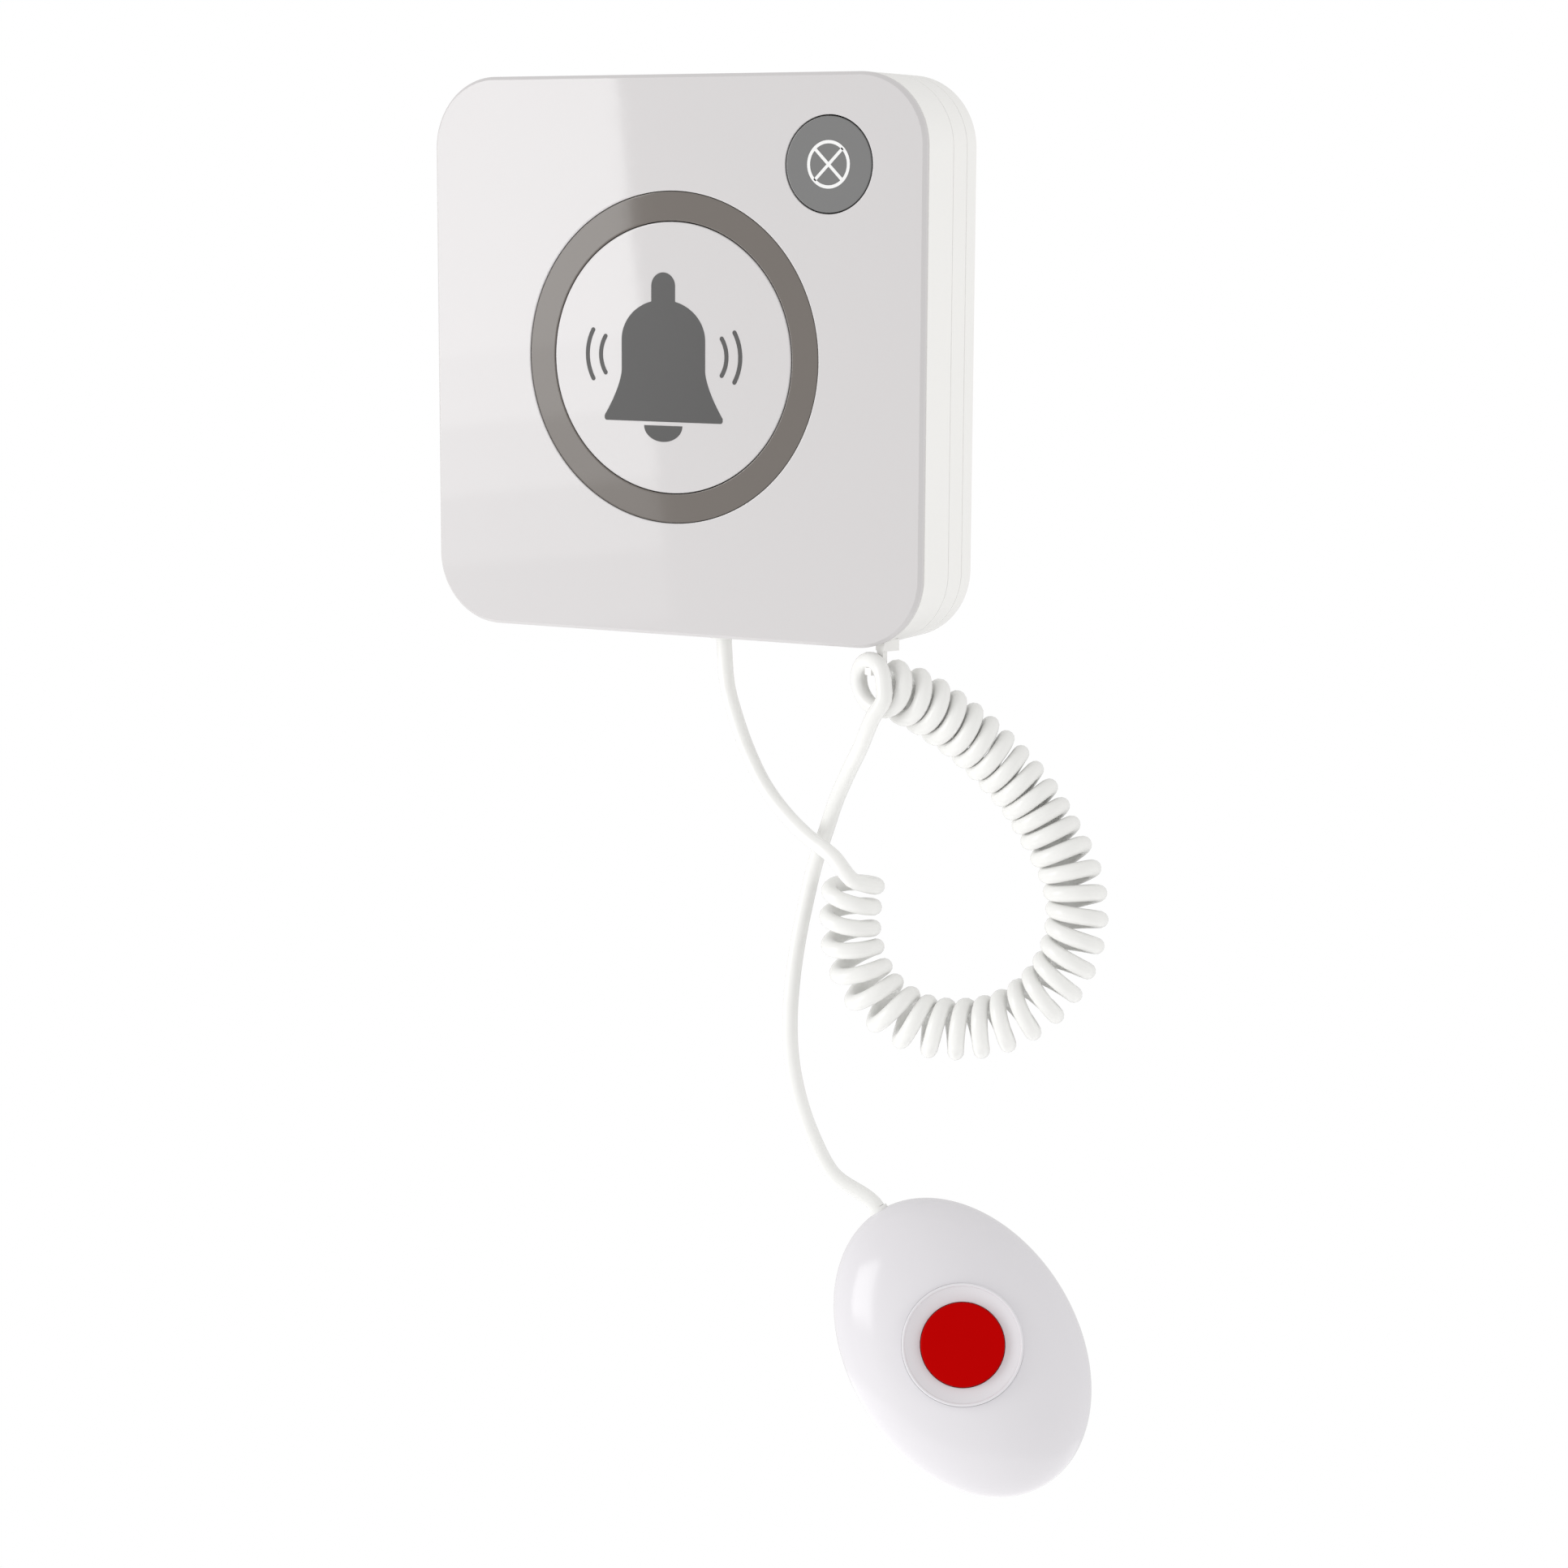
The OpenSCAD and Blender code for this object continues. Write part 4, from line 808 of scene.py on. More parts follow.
class StageOperator(bpy.types.Operator):
    """Sets the camera at the photograph's viewing angle, the lights and a pale floor"""
    bl_idname = "call_unit.stage"
    bl_label = "Camera, lights and floor"

    CAMERA_AT = (0.2624, -0.48175, 0.02213)
    YAW = math.radians(27.64)
    PITCH = math.radians(9.46)
    ROLL = math.radians(0.31)
    LENS = 78.6
    SENSOR = 36
    NEAREST = 0.01
    WHITE = (1, 1, 1, 1)
    DOME_COLOUR = (1.0, 0.995, 0.985, 1)
    DOME_STRENGTH = 0.78
    FLOOR_Z = -0.42
    FLOOR_RADIUS = 0.48
    FLOOR_ROUND = 128
    PAPER = ((0.80, 0.80, 0.80, 1), (0.84, 0.84, 0.84, 1))
    SOFTBOX_Y = -0.6
    SOFTBOX_EDGE = (-0.343, 0.0)
    SOFTBOX_LEAN = math.radians(6.7)
    SOFTBOX_WIDTH = 0.62
    SOFTBOX_RADIANCE = 3.2
    SOFTBOX_PANES = ((-0.02, 0.5, 1.0), (-0.045, -0.02, 0.85), (-0.07, -0.045, 0.6), (-0.095, -0.07, 0.35),
                     (-0.12, -0.095, 0.15))
    SOFTBOX_LOW = (-0.5, -0.06, 0.85)
    FILLS = (("fill_right", (0.75, -0.1, 0.1), (0, 1, 0), (0, 0, 1), 0.5, 1.4),
             ("bounce_low", (0, 0, -0.4), (1, 0, 0), (0, 1, 0), 0.8, 0.6))

    def execute(self, context):
        self.add_camera(context.scene)
        self.add_world(context.scene)
        self.add_lights(context.scene)
        self.add_floor()
        view = context.scene.view_settings
        view.view_transform = "Standard"
        view.look = "None"
        return {"FINISHED"}

    def add_camera(self, scene):
        """Looks along yaw and pitch; right and up are turned about that line by the roll."""
        y, p, r = self.YAW, self.PITCH, self.ROLL
        ahead = np.array([-math.sin(y) * math.cos(p), math.cos(y) * math.cos(p), -math.sin(p)])
        level = np.array([math.cos(y), math.sin(y), 0])
        top = np.cross(level, ahead)
        right = level * math.cos(r) + top * math.sin(r)
        up = top * math.cos(r) - level * math.sin(r)
        data = bpy.data.cameras.new("camera")
        data.lens = self.LENS
        data.sensor_width = self.SENSOR
        data.clip_start = self.NEAREST
        camera = bpy.data.objects.new("camera", data)
        camera.matrix_world = placed(right, up, -ahead, self.CAMERA_AT)
        scene.collection.objects.link(camera)
        scene.camera = camera

    def add_world(self, scene):
        """White to the camera, and a soft studio dome to everything else."""
        world = bpy.data.worlds.new("studio")
        world.use_nodes = True
        tree = world.node_tree
        tree.nodes.clear()
        rays = tree.nodes.new("ShaderNodeLightPath")
        mix = tree.nodes.new("ShaderNodeMixShader")
        out = tree.nodes.new("ShaderNodeOutputWorld")
        tree.links.new(rays.outputs["Is Camera Ray"], mix.inputs[0])
        tree.links.new(mix.outputs[0], out.inputs[0])
        for tint, strength, socket in (self.DOME_COLOUR, self.DOME_STRENGTH, 1), (self.WHITE, 1.0, 2):
            glow = tree.nodes.new("ShaderNodeBackground")
            glow.inputs["Color"].default_value = tint
            glow.inputs["Strength"].default_value = strength
            tree.links.new(glow.outputs[0], mix.inputs[socket])
        scene.world = world

    def area(self, scene, name, at, right, up, size, radiance, glossy=True):
        """A rectangular light that shines square to right and up, with a given radiance."""
        data = bpy.data.lights.new(name, "AREA")
        data.shape = "RECTANGLE"
        data.size, data.size_y = size
        data.energy = radiance * math.pi * size[0] * size[1]
        right, up = unit(np.array(right, float)), unit(np.array(up, float))
        back = np.cross(right, up)
        light = bpy.data.objects.new(name, data)
        light.matrix_world = placed(right, up, back, at)
        light.visible_camera = False
        light.visible_glossy = glossy
        scene.collection.objects.link(light)

    def add_lights(self, scene):
        """A softbox on the left and two fills.

        The softbox is a stack of panes, each from a low to a high height with its share of the
        radiance, so that its reflection in the facia fades downwards. Its lowest pane and the
        fills are not mirrored. A fill has a name, a place, directions to its right and up, the
        length of its sides and its radiance.
        """
        lean = self.SOFTBOX_LEAN
        right = np.array([math.cos(lean), 0, math.sin(lean)])
        up = np.array([-math.sin(lean), 0, math.cos(lean)])
        corner = np.array([self.SOFTBOX_EDGE[0], self.SOFTBOX_Y, self.SOFTBOX_EDGE[1]])
        middle = corner - right * self.SOFTBOX_WIDTH / 2
        panes = [("softbox_left", pane, True) for pane in self.SOFTBOX_PANES]
        panes.append(("softbox_low", self.SOFTBOX_LOW, False))
        for name, (low, high, share), glossy in panes:
            self.area(scene, name, middle + up * (low + high) / 2, right, up,
                      (self.SOFTBOX_WIDTH, high - low), self.SOFTBOX_RADIANCE * share, glossy)
        for name, at, right, up, side, radiance in self.FILLS:
            self.area(scene, name, at, right, up, (side, side), radiance, False)

    def add_floor(self):
        """A round pale floor below the unit, out of the main view."""
        solid = Solid("floor")
        rim = circle(self.FLOOR_RADIUS, self.FLOOR_ROUND)
        solid.fan(np.concatenate([rim, np.full((len(rim), 1), self.FLOOR_Z)], axis=1))
        floor = solid.build()
        finish = Finish("floor_paper")
        grain = finish.noise(scale=300, detail=3)
        finish.set(Base_Color=finish.mix(grain, *self.PAPER), Roughness=0.9)
        floor.data.materials.append(finish.material)


class CordOperator(bpy.types.Operator):
    """Builds the cord from the case through its curls to the handset"""
    bl_idname = "call_unit.cord"
    bl_label = "Curly cord"

    SIDES = 14
    BLEND = 8

    def execute(self, context):
        """The thickness passes from the leads' to the curls' over a few points, as a running mean."""
        s = sizes()
        path, share = cord_path()
        window = np.ones(2 * self.BLEND + 1) / (2 * self.BLEND + 1)
        blend = np.convolve(np.pad(share, self.BLEND, mode="edge"), window, mode="valid")
        straight, curled = s.cord_diameter / 2, s.curl_cord_diameter / 2
        cord = tube("curly_cord", path, straight + (curled - straight) * blend, self.SIDES)
        dress(cord, "unit", "cord", "cord_upper", "cord_coil", "cord_lower")
        return {"FINISHED"}


class CaseOperator(bpy.types.Operator):
    """Builds the wall plate with its hooks, the rear case with slots and posts, and the cover"""
    bl_idname = "call_unit.case"
    bl_label = "Case shells"

    LAND = 0.7 * MM
    HOLE_EDGE = 0.2 * MM
    PLATE_FLOOR = 1.8 * MM
    PLATE_BEVEL = 1.0 * MM
    WALL_SCREW_X = 30 * MM
    WALL_SCREW_HOLE = 2.1 * MM
    HOOK_SHARE = np.array([0.28, 0.23])
    HOOK_WIDTH = 6 * MM
    HOOK_STEM = 2 * MM
    HOOK_RISE = 3 * MM
    HOOK_TIP = (6 * MM, 7.3 * MM)
    HOOK_EDGE = 0.15 * MM
    HOOK_SINK = 0.2 * MM
    LIFT = 3.3 * MM
    REAR_FLOOR = 1.5 * MM
    LIP = 1.0 * MM
    LIP_RISE = 2.0 * MM
    SEAM = 0.15 * MM
    SCREW_INSET = 6.49 * MM
    SCREW_HEAD = 2.2 * MM
    SCREW_SHANK = 1.2 * MM
    SCREW_SEAT = 6.75 * MM
    SCREW_POST = 3.2 * MM
    POST_SINK = 0.3 * MM
    BOARD_GAP = 1.55 * MM
    BOARD_BACK = 10.6 * MM
    BOARD_POST = 2.5 * MM
    BOARD_POST_SHARES = ((-0.43, 0), (0.43, 0), (-0.18, -0.43))
    COVER_INNER = 15.8 * MM
    COVER_BOSS = 2.8 * MM

    def execute(self, context):
        s = sizes()
        self.edge, self.wall = s.edge_round, s.wall
        self.corner = np.array([s.case_width, s.case_height])
        quarters = [np.array([x, y]) for x in (-1, 1) for y in (-1, 1)]
        self.hooks = [q * self.corner * self.HOOK_SHARE for q in quarters]
        self.screws = [q * (self.corner / 2 - self.SCREW_INSET) for q in quarters]
        self.outline = rounded_rectangle(s.case_width, s.case_height, s.corner_radius)
        self.plate()
        self.rear()
        self.cover()
        return {"FINISHED"}

    def shell(self, name, corners, radii, holes):
        """A shell whose profile has these corners, each rounded by its share of the edge radius."""
        profile = rounded_path(corners, [share * self.edge for share in radii])
        return slab_with_holes(name, *self.outline, profile, holes)

    def finish(self, solid, body):
        """Dresses a shell, which stands for the node of its own name."""
        dress(solid.build(), body, "case", solid.name.replace("_shell", ""))

    def add_hook(self, solid, x, y):
        """A stem out of the plate, and at its front end a tip that stands up from the stem's foot."""
        left, right = x - self.HOOK_WIDTH / 2, x + self.HOOK_WIDTH / 2
        back, front = self.HOOK_TIP
        for top, start in ((y + self.HOOK_STEM, self.PLATE_FLOOR - self.HOOK_SINK),
                           (y + self.HOOK_STEM + self.HOOK_RISE, back)):
            loop = np.array([[left, y], [right, y], [right, top], [left, top]])
            add_prism(solid, loop, start, front, self.HOOK_EDGE)

    def plate(self):
        """A box open to the room, bevelled at the wall, with its screw holes and its hooks."""
        w, b, floor = self.wall, self.PLATE_BEVEL, self.PLATE_FLOOR
        land = self.edge + self.LAND
        corners = [(w + land, floor), (w, floor), (w, PLATE_FRONT), (0, PLATE_FRONT), (0, b), (b, 0),
                   (b + land, 0)]
        holes = [round_hole((x, 0), self.WALL_SCREW_HOLE, self.HOLE_EDGE, 0, floor)
                 for x in (-self.WALL_SCREW_X, self.WALL_SCREW_X)]
        solid = self.shell("wall_plate_shell", corners, [0, 1, 0.5, 1, 1, 1, 0], holes)
        for x, y in self.hooks:
            self.add_hook(solid, x, y)
        self.finish(solid, "wall_mount")

    def rear(self):
        """A box open to the room, with a lip inside its rim, slots, screw tubes and board posts."""
        land = self.edge + self.LAND
        lip = self.wall + self.SEAM
        inner = lip + self.LIP
        floor, rim = REAR_BACK + self.REAR_FLOOR, REAR_FRONT + self.LIP_RISE
        corners = [(inner + land, floor), (inner, floor), (inner, rim), (lip, rim), (lip, REAR_FRONT),
                   (0, REAR_FRONT), (0, REAR_BACK), (land, REAR_BACK)]
        low, high = -self.LIFT - 2 * self.SEAM, self.HOOK_STEM + self.SEAM
        width = self.HOOK_WIDTH + 2 * self.SEAM
        depths = self.HOLE_EDGE, REAR_BACK, floor
        holes = [slot_hole((x, y + (low + high) / 2), width, high - low, *depths) for x, y in self.hooks]
        holes += [round_hole(at, self.SCREW_HEAD, *depths) for at in self.screws]
        solid = self.shell("rear_case_shell", corners, [0, 1, 0.5, 0.5, 0.5, 1, 1, 0], holes)
        foot = floor - self.POST_SINK
        post, head, shank = self.SCREW_POST, self.SCREW_HEAD, self.SCREW_SHANK
        tube = np.array([(head, foot), (post, foot), (post, REAR_FRONT), (shank, REAR_FRONT),
                         (shank, self.SCREW_SEAT), (head, self.SCREW_SEAT)])
        for at in self.screws:
            add_hoop(solid, tube, SMALL_ROUND, at)
        stud = np.array([(self.BOARD_POST, foot), (self.BOARD_POST, self.BOARD_BACK)])
        board = self.corner - 2 * (inner + self.BOARD_GAP)
        for share in self.BOARD_POST_SHARES:
            add_disc(solid, stud, SMALL_ROUND, share * board)
        self.finish(solid, "unit")

    def cover(self):
        """A box open to the wall, with the ring's and the cancel button's holes and four bosses."""
        w, inner, boss = self.wall, self.COVER_INNER, self.COVER_BOSS
        land = self.edge + self.LAND
        corners = [(land, COVER_FRONT), (0, COVER_FRONT), (0, COVER_BACK), (w, COVER_BACK), (w, inner),
                   (w + land, inner)]
        holes = face_holes(self.HOLE_EDGE, inner, COVER_FRONT)
        solid = self.shell("front_cover_shell", corners, [0, 1, 1, 0.5, 1, 0], holes)
        stud = np.array([(boss, COVER_BACK), (boss, inner + self.POST_SINK)])
        for at in self.screws:
            add_disc(solid, stud, SMALL_ROUND, at)
        self.finish(solid, "unit")


class FaciaOperator(bpy.types.Operator):
    """Builds the glossy front panel with its bevel and its two holes"""
    bl_idname = "call_unit.facia"
    bl_label = "Facia"

    LAND = 0.7 * MM
    EDGE = 0.1 * MM
    EDGE_SUPPORT = 0.05 * MM
    HOLE_EDGE = 0.12 * MM
    CORNER_STEPS = 28

    def execute(self, context):
        s = sizes()
        outline = rounded_rectangle(s.case_width, s.case_height, s.corner_radius, self.CORNER_STEPS)
        b, e, land = s.facia_bevel, self.EDGE, self.LAND
        corners = [(b + e + land, FACE), (b, FACE), (0, FACE - b), (0, FACIA_BACK), (e + land, FACIA_BACK)]
        profile = rounded_path(corners, [0, e, e, e, 0], support=self.EDGE_SUPPORT)
        holes = face_holes(self.HOLE_EDGE, FACIA_BACK, FACE)
        solid = slab_with_holes("facia_panel", *outline, profile, holes)
        dress(solid.build(), "unit", "facia", "front_panel")
        return {"FINISHED"}


class RingOperator(bpy.types.Operator):
    """Builds the smoked light ring with rounded edges and its flange under the cover"""
    bl_idname = "call_unit.ring"
    bl_label = "Light ring"

    FLANGE_RADIUS = 27 * MM
    BACK = 14.4 * MM
    FLANGE_TOP = 15.8 * MM
    BELOW_FACE = 0.1 * MM
    EDGE = 0.12 * MM

    def execute(self, context):
        s = sizes()
        bore, outer, flange = s.ring_inner / 2, s.ring_outer / 2, self.FLANGE_RADIUS
        front, top, back, e = FACE - self.BELOW_FACE, self.FLANGE_TOP, self.BACK, self.EDGE
        middle = (bore + outer) / 2
        corners = [(middle, front), (outer, front), (outer, top), (flange, top), (flange, back),
                   (bore, back), (bore, front), (middle - e, front)]
        profile = rounded_path(corners, [0, e, e / 2, e / 2, e / 2, e / 2, e, 0])
        solid = Solid("light_ring_smoked")
        add_hoop(solid, profile, WIDE_ROUND)
        dress(solid.build(), "unit", "ring", "light_ring")
        return {"FINISHED"}


# Buttons and their printed marks, which stand a hair proud of the face

BUTTON_SUPPORT = 0.08 * MM
PRINT_FRONT = FACE + 0.05 * MM
PRINT_BACK = PRINT_FRONT - 0.35 * MM


class CallButtonOperator(bpy.types.Operator):
    """Builds the round push disc with its skirt and the printed bell"""
    bl_idname = "call_unit.call_button"
    bl_label = "Call button"

    GAP = 0.15 * MM
    EDGE = 0.2 * MM
    DISC = 1.8 * MM
    SKIRT = 1.5 * MM
    FLANGE_RADIUS = 21.7 * MM
    FLANGE = (14.2 * MM, 13.4 * MM)
    BOSS_RADIUS = 2.5 * MM
    BOSS = 1.2 * MM
    CENTRE = 0.5 * MM
    BELL_X = -1.4 * MM
    BODY = 14.8 * MM
    MOUTH = 21 * MM
    HEIGHT = 18.7 * MM
    DROP = 9.8 * MM
    STROKE = 0.7 * MM
    SHOULDER = 0.33
    KNOB = 0.142
    FLARE = 0.42
    FLARE_POWER = 1.5
    LIP = 0.04
    FOOT_ROUND = 0.02
    CLAPPER = (0.162, 0.134)
    CLAPPER_DROP = 0.032
    WAVE_CENTRE = (0.285, 0.02)
    WAVES = ((0.376, 30), (0.262, 33))
    SHORT_ARC = 15
    LONG_ARC = 25
    WAVE_END_ARC = 9
    CLAPPER_ARC = 33
    FOOT_ARC = (0, -30, -60, -90)

    def execute(self, context):
        self.disc()
        self.bell()
        return {"FINISHED"}

    def disc(self):
        """The push disc with its skirt, flange and middle boss, in one turned profile."""
        r = sizes().ring_inner / 2 - self.GAP
        skirt, flange, boss, centre = r - self.SKIRT, self.FLANGE_RADIUS, self.BOSS_RADIUS, self.CENTRE
        under = FACE - self.DISC
        tip, e = under - self.BOSS, self.EDGE
        top, foot = self.FLANGE
        corners = [(centre, FACE), (r, FACE), (r, top), (flange, top), (flange, foot), (skirt, foot),
                   (skirt, under), (boss, under), (boss, tip), (centre, tip)]
        half = e / 2
        profile = rounded_path(corners, [0, e, half, half, half, half, e, e, e, 0], support=BUTTON_SUPPORT)
        solid = Solid("call_disc")
        add_disc(solid, profile, WIDE_ROUND)
        dress(solid.build(), "call_push", "facia", "call_button")

    def bell_side(self):
        """Right half of the bell from the top down.

        The knob is a half circle, the shoulder a quarter ellipse, the side straight, and
        the flare widens with the power 1.5 of the way down to the mouth's lip.
        """
        top = self.HEIGHT - self.DROP
        shoulder = self.HEIGHT * self.SHOULDER
        side = top - shoulder
        knob = self.BODY * self.KNOB
        flare_top = self.HEIGHT * self.FLARE - self.DROP
        lip = self.HEIGHT * self.LIP - self.DROP
        a = np.linspace(math.pi / 2, 0, self.SHORT_ARC)
        knob_line = pairs(knob * np.cos(a), top + knob + knob * np.sin(a))
        a = np.linspace(math.acos(2 * knob / self.BODY), 0, self.LONG_ARC)
        shoulder_line = pairs(self.BODY / 2 * np.cos(a), side + shoulder * np.sin(a))
        f = np.linspace(0, 1, self.SHORT_ARC)
        out = self.BODY / 2 + (self.MOUTH - self.BODY) / 2 * f ** self.FLARE_POWER
        flare = pairs(out, flare_top + (lip - flare_top) * f)
        corner = self.HEIGHT * self.FOOT_ROUND
        a = np.radians(self.FOOT_ARC)
        foot = pairs(self.MOUTH / 2 - corner * (1 - np.cos(a)), -self.DROP + corner * (1 + np.sin(a)))
        return np.concatenate([knob_line, shoulder_line, flare, foot])

    def wave(self, middle, end):
        """An arc as wide as the stroke, from -end to end, with half circles as its ends."""
        thin = self.STROKE / 2
        a = np.linspace(-end, end, self.LONG_ARC)
        arc = pairs(np.cos(a), np.sin(a))
        t = end + np.linspace(0, math.pi, self.WAVE_END_ARC)[1:-1]
        over = middle * arc[-1] + thin * pairs(np.cos(t), np.sin(t))
        under = over[::-1] * [1, -1]
        return np.concatenate([arc * (middle + thin), over, arc[::-1] * (middle - thin), under])

    def bell_outlines(self):
        """Outlines of the bell, its clapper and the four sound waves, as (x, y) loops."""
        right = self.bell_side()
        a = np.linspace(0, -math.pi, self.CLAPPER_ARC)
        wide, deep = self.CLAPPER
        clapper = pairs(self.MOUTH * wide * np.cos(a), self.HEIGHT * deep * np.sin(a))
        loops = [np.concatenate([right, right[:0:-1] * [-1, 1]]),
                 clapper + [0, -self.DROP - self.HEIGHT * self.CLAPPER_DROP]]
        across, up = self.WAVE_CENTRE
        for share, half in self.WAVES:
            wave = self.wave(self.MOUTH * share - self.STROKE / 2, math.radians(half))
            wave = wave + [self.MOUTH * across, self.HEIGHT * up]
            loops += [wave, wave[::-1] * [-1, 1]]
        return [loop + [self.BELL_X, 0] for loop in loops]

    def bell(self):
        solid = Solid("bell_print")
        for loop in self.bell_outlines():
            add_prism(solid, loop, PRINT_BACK, PRINT_FRONT)
        dress(solid.build(), "call_push", "print_grey", "bell_mark")


class CancelButtonOperator(bpy.types.Operator):
    """Builds the small round cancel button with its circled cross"""
    bl_idname = "call_unit.cancel_button"
    bl_label = "Cancel button"

    EDGE = 0.15 * MM
    FLANGE_RADIUS = 8.1 * MM
    FLANGE = (15.6 * MM, 14.5 * MM)
    CENTRE = 0.4 * MM
    STROKE = 0.49 * MM
    BAR_STEP = 0.004 * MM
    MARK_ROUND = 72

    def execute(self, context):
        r = sizes().cancel_diameter / 2
        e, flange, centre = self.EDGE, self.FLANGE_RADIUS, self.CENTRE
        top, foot = self.FLANGE
        corners = [(centre, FACE), (r, FACE), (r, top), (flange, top), (flange, foot), (centre, foot)]
        profile = rounded_path(corners, [0, e, e / 2, e / 2, e / 2, 0], support=BUTTON_SUPPORT)
        solid = Solid("cancel_disc")
        add_disc(solid, profile, MEDIUM_ROUND, CANCEL_AT)
        dress(solid.build(), "cancel_push", "cancel", "cancel_button")
        self.mark(r / 2)
        return {"FINISHED"}

    def mark(self, radius):
        """A ring, and two bars that cross inside it and end at the ring's middle line.

        One bar ends a hair below the other, so that their fronts don't coincide.
        """
        solid = Solid("cancel_print")
        bore = radius - self.STROKE
        profile = np.array([(radius, PRINT_BACK), (radius, PRINT_FRONT),
                            (bore, PRINT_FRONT), (bore, PRINT_BACK)])
        add_hoop(solid, profile, self.MARK_ROUND, CANCEL_AT)
        reach, half = radius - self.STROKE / 2, self.STROKE / 2
        bar = np.array([[-reach, -half], [reach, -half], [reach, half], [-reach, half]])
        for angle, front in ((45, PRINT_FRONT), (-45, PRINT_FRONT - self.BAR_STEP)):
            crossed = turn(bar, math.radians(angle), 0, 1) + np.array(CANCEL_AT)
            add_prism(solid, crossed, PRINT_BACK, front)
        dress(solid.build(), "cancel_push", "print_white", "cancel_mark")


class HandsetOperator(bpy.types.Operator):
    """Builds the egg-shaped handset: two shells, a dished collar and the red push button"""
    bl_idname = "call_unit.handset"
    bl_label = "Handset"

    AROUND = 160
    FRONT_ROWS = (44, 20)
    REAR_ROWS = (52, 24)
    SEAM_ARC = 5
    CROWN_ARC = 11
    DISH_ARC = 17
    OPENING = 9.34 * MM
    SEAM_HALF = 0.05 * MM
    SEAM_ROUND = 0.18 * MM
    LIP = 0.5 * MM
    DISH = 0.9 * MM
    PUSH_GAP = 0.1 * MM
    PUSH_EDGE = 0.35 * MM
    PUSH_FLANGE_RADIUS = 7.35 * MM
    PUSH_FLANGE = (8.0 * MM, 7.2 * MM)
    PUSH_BOSS_RADIUS = 1.7 * MM
    PUSH_BOSS = 1.8 * MM
    PUSH_ROUND = 128
    PUSH_SUPPORT = 0.1 * MM
    CENTRE = 0.4 * MM

    def execute(self, context):
        s = sizes()
        self.half = np.array([s.handset_width / 2, s.handset_length / 2])
        self.angle = np.linspace(0, 2 * math.pi, self.AROUND, endpoint=False)
        self.front_shell()
        self.rear_shell()
        self.collar(s)
        self.push(s)
        return {"FINISHED"}

    def reach(self, inset):
        """Distance from the egg's middle to its outline in each direction: an ellipse."""
        a, b = self.half - inset
        return 1 / np.sqrt((np.cos(self.angle) / a) ** 2 + (np.sin(self.angle) / b) ** 2)

    def row(self, radius, depth):
        """One row of points around the egg at a radius and a depth, each a number or an array."""
        radius = np.broadcast_to(radius, self.angle.shape)
        depth = np.broadcast_to(depth, self.angle.shape)
        return np.stack([radius * np.cos(self.angle), radius * np.sin(self.angle), depth], axis=-1)

    def dome(self, inset, depth, start, rows):
        """Rows over the egg's surface from a start radius out to just short of its seam.

        A point at angle f from the pole has radius reach times sine f and depth times
        cosine f, and f runs evenly from the start radius to the seam's rounded edge.
        """
        reach = self.reach(inset)
        first = np.arcsin(start / reach)
        last = math.acos((self.SEAM_HALF + self.SEAM_ROUND) / depth)
        f = first + (last - first) * np.linspace(0, 1, rows)[:, None]
        return [self.row(reach * np.sin(g), depth * np.cos(g)) for g in f]

    def seam_edge(self):
        """Rows round the quarter circle at the seam, from the dome in to the flat rim."""
        reach, r = self.reach(0), self.SEAM_ROUND
        return [self.row(reach - r * (1 - math.cos(a)), self.SEAM_HALF + r * (1 - math.sin(a)))
                for a in np.linspace(0, math.pi / 2, self.SEAM_ARC)[1:]]

    def half_egg(self, depth, start, outer, inner):
        """Rows over a half shell's outside from its start radius, round the rim and back inside."""
        rim = self.seam_edge() + [self.row(self.reach(HANDSET_WALL), self.SEAM_HALF)]
        inside = self.dome(HANDSET_WALL, depth - HANDSET_WALL, start, inner)
        return np.stack(self.dome(0, depth, start, outer) + rim + inside[::-1])

    def front_shell(self):
        rows = self.half_egg(HANDSET_FRONT, self.OPENING, *self.FRONT_ROWS)
        solid = Solid("handset_front")
        solid.grid(in_handset(rows), wrap_rows=True, wrap_columns=True)
        dress(solid.build(), "unit", "handset", "handset_front_shell")

    def rear_shell(self):
        rows = self.half_egg(HANDSET_REAR, self.CENTRE, *self.REAR_ROWS)
        solid = Solid("handset_rear")
        solid.barrel(in_handset(rows * np.array([1, 1, -1])))
        dress(solid.build(), "unit", "handset", "handset_rear_shell")

    def collar(self, s):
        """The collar's dish falls from the lip to the bore by the sine of the way in."""
        bore = s.push_diameter / 2 + self.PUSH_GAP
        lip = self.LIP / 2
        crest = COLLAR_RADIUS - lip
        a = np.linspace(0, math.pi, self.CROWN_ARC)
        crown = pairs(crest + lip * np.cos(a), COLLAR_FRONT - lip + lip * np.sin(a))
        f = np.linspace(0, 1, self.DISH_ARC)
        dish = pairs(crest - lip + (bore - crest + lip) * f,
                     COLLAR_FRONT - lip - (self.DISH - lip) * np.sin(f * math.pi / 2))
        foot = np.array([[bore, COLLAR_BACK], [COLLAR_RADIUS, COLLAR_BACK]])
        solid = Solid("handset_collar_dished")
        profile = np.concatenate([crown, dish[1:], foot])
        add_hoop(solid, profile, self.AROUND, place=in_handset)
        dress(solid.build(), "unit", "handset", "handset_collar")

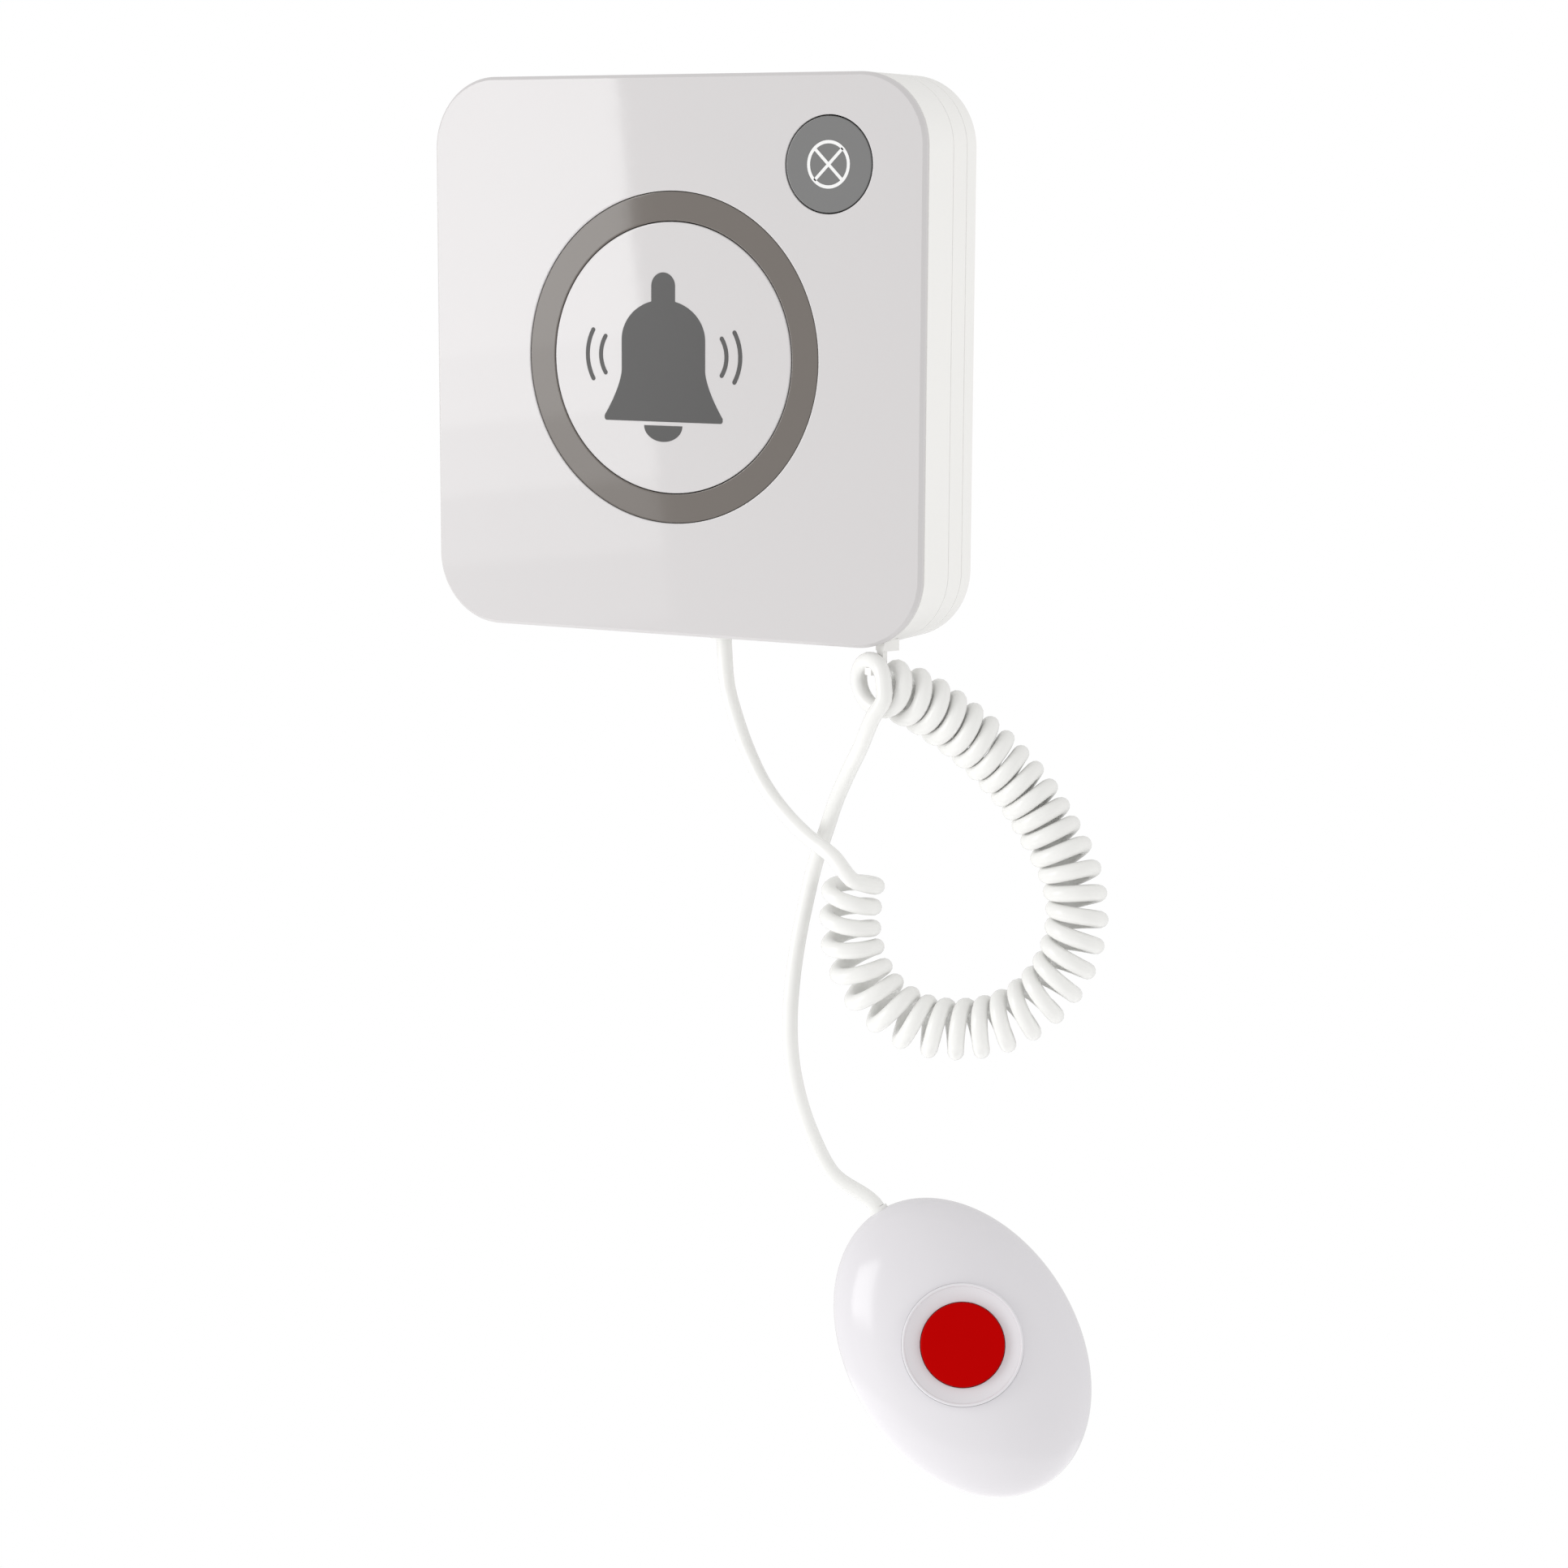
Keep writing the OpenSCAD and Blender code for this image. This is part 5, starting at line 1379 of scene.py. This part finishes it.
    def push(self, s):
        """The red button with its flange and boss, in one turned profile."""
        r, e, centre = s.push_diameter / 2, self.PUSH_EDGE, self.CENTRE
        flange, boss = self.PUSH_FLANGE_RADIUS, self.PUSH_BOSS_RADIUS
        top, under = self.PUSH_FLANGE
        tip = under - self.PUSH_BOSS
        corners = [(centre, PUSH_FRONT), (r, PUSH_FRONT), (r, top), (flange, top), (flange, under),
                   (boss, under), (boss, tip), (centre, tip)]
        profile = rounded_path(corners, [0, e] + [e / 3] * 5 + [0], support=self.PUSH_SUPPORT)
        solid = Solid("red_push")
        add_disc(solid, profile, self.PUSH_ROUND, place=in_handset)
        dress(solid.build(), "handset_push", "red_button", "handset_button")


class InnerPartsOperator(bpy.types.Operator):
    """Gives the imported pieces, such as the board and the cell, their finishes"""
    bl_idname = "call_unit.inner_parts"
    bl_label = "Inner parts"

    def execute(self, context):
        for row in frame["record"]["subparts"]:
            piece = frame["nodes"][row["node"]]
            piece.data.materials.clear()
            piece.data.materials.append(finish_for(row["material_slot"]))
        return {"FINISHED"}


class CallUnitPanel(bpy.types.Panel):
    """Lists the sizes, the colours and the steps that build the call unit"""
    bl_idname = "VIEW3D_PT_call_unit"
    bl_label = "Call Unit"
    bl_space_type = "VIEW_3D"
    bl_region_type = "UI"
    bl_category = "Call Unit"

    def draw(self, context):
        for group in (context.scene.call_unit_sizes, context.scene.call_unit_colours):
            column = self.layout.column(align=True)
            for name in group.bl_rna.properties.keys():
                if name not in ("rna_type", "name"):
                    column.prop(group, name)
        for step in STEPS:
            self.layout.operator(step.bl_idname)


STEPS = (StageOperator, InnerPartsOperator, CordOperator, CaseOperator, FaciaOperator, RingOperator,
         CallButtonOperator, CancelButtonOperator, HandsetOperator)
CLASSES = (CallUnitSizes, CallUnitColours) + STEPS + (CallUnitPanel,)


def register():
    for cls in CLASSES:
        bpy.utils.register_class(cls)
    bpy.types.Scene.call_unit_sizes = bpy.props.PointerProperty(type=CallUnitSizes)
    bpy.types.Scene.call_unit_colours = bpy.props.PointerProperty(type=CallUnitColours)


def unregister():
    del bpy.types.Scene.call_unit_colours
    del bpy.types.Scene.call_unit_sizes
    for cls in reversed(CLASSES):
        bpy.utils.unregister_class(cls)


def main():
    register()
    bpy.ops.call_unit.stage()
    bpy.ops.call_unit.inner_parts()
    bpy.ops.call_unit.cord()
    bpy.ops.call_unit.case()
    bpy.ops.call_unit.facia()
    bpy.ops.call_unit.ring()
    bpy.ops.call_unit.call_button()
    bpy.ops.call_unit.cancel_button()
    bpy.ops.call_unit.handset()


if __name__ == "__main__":
    main()
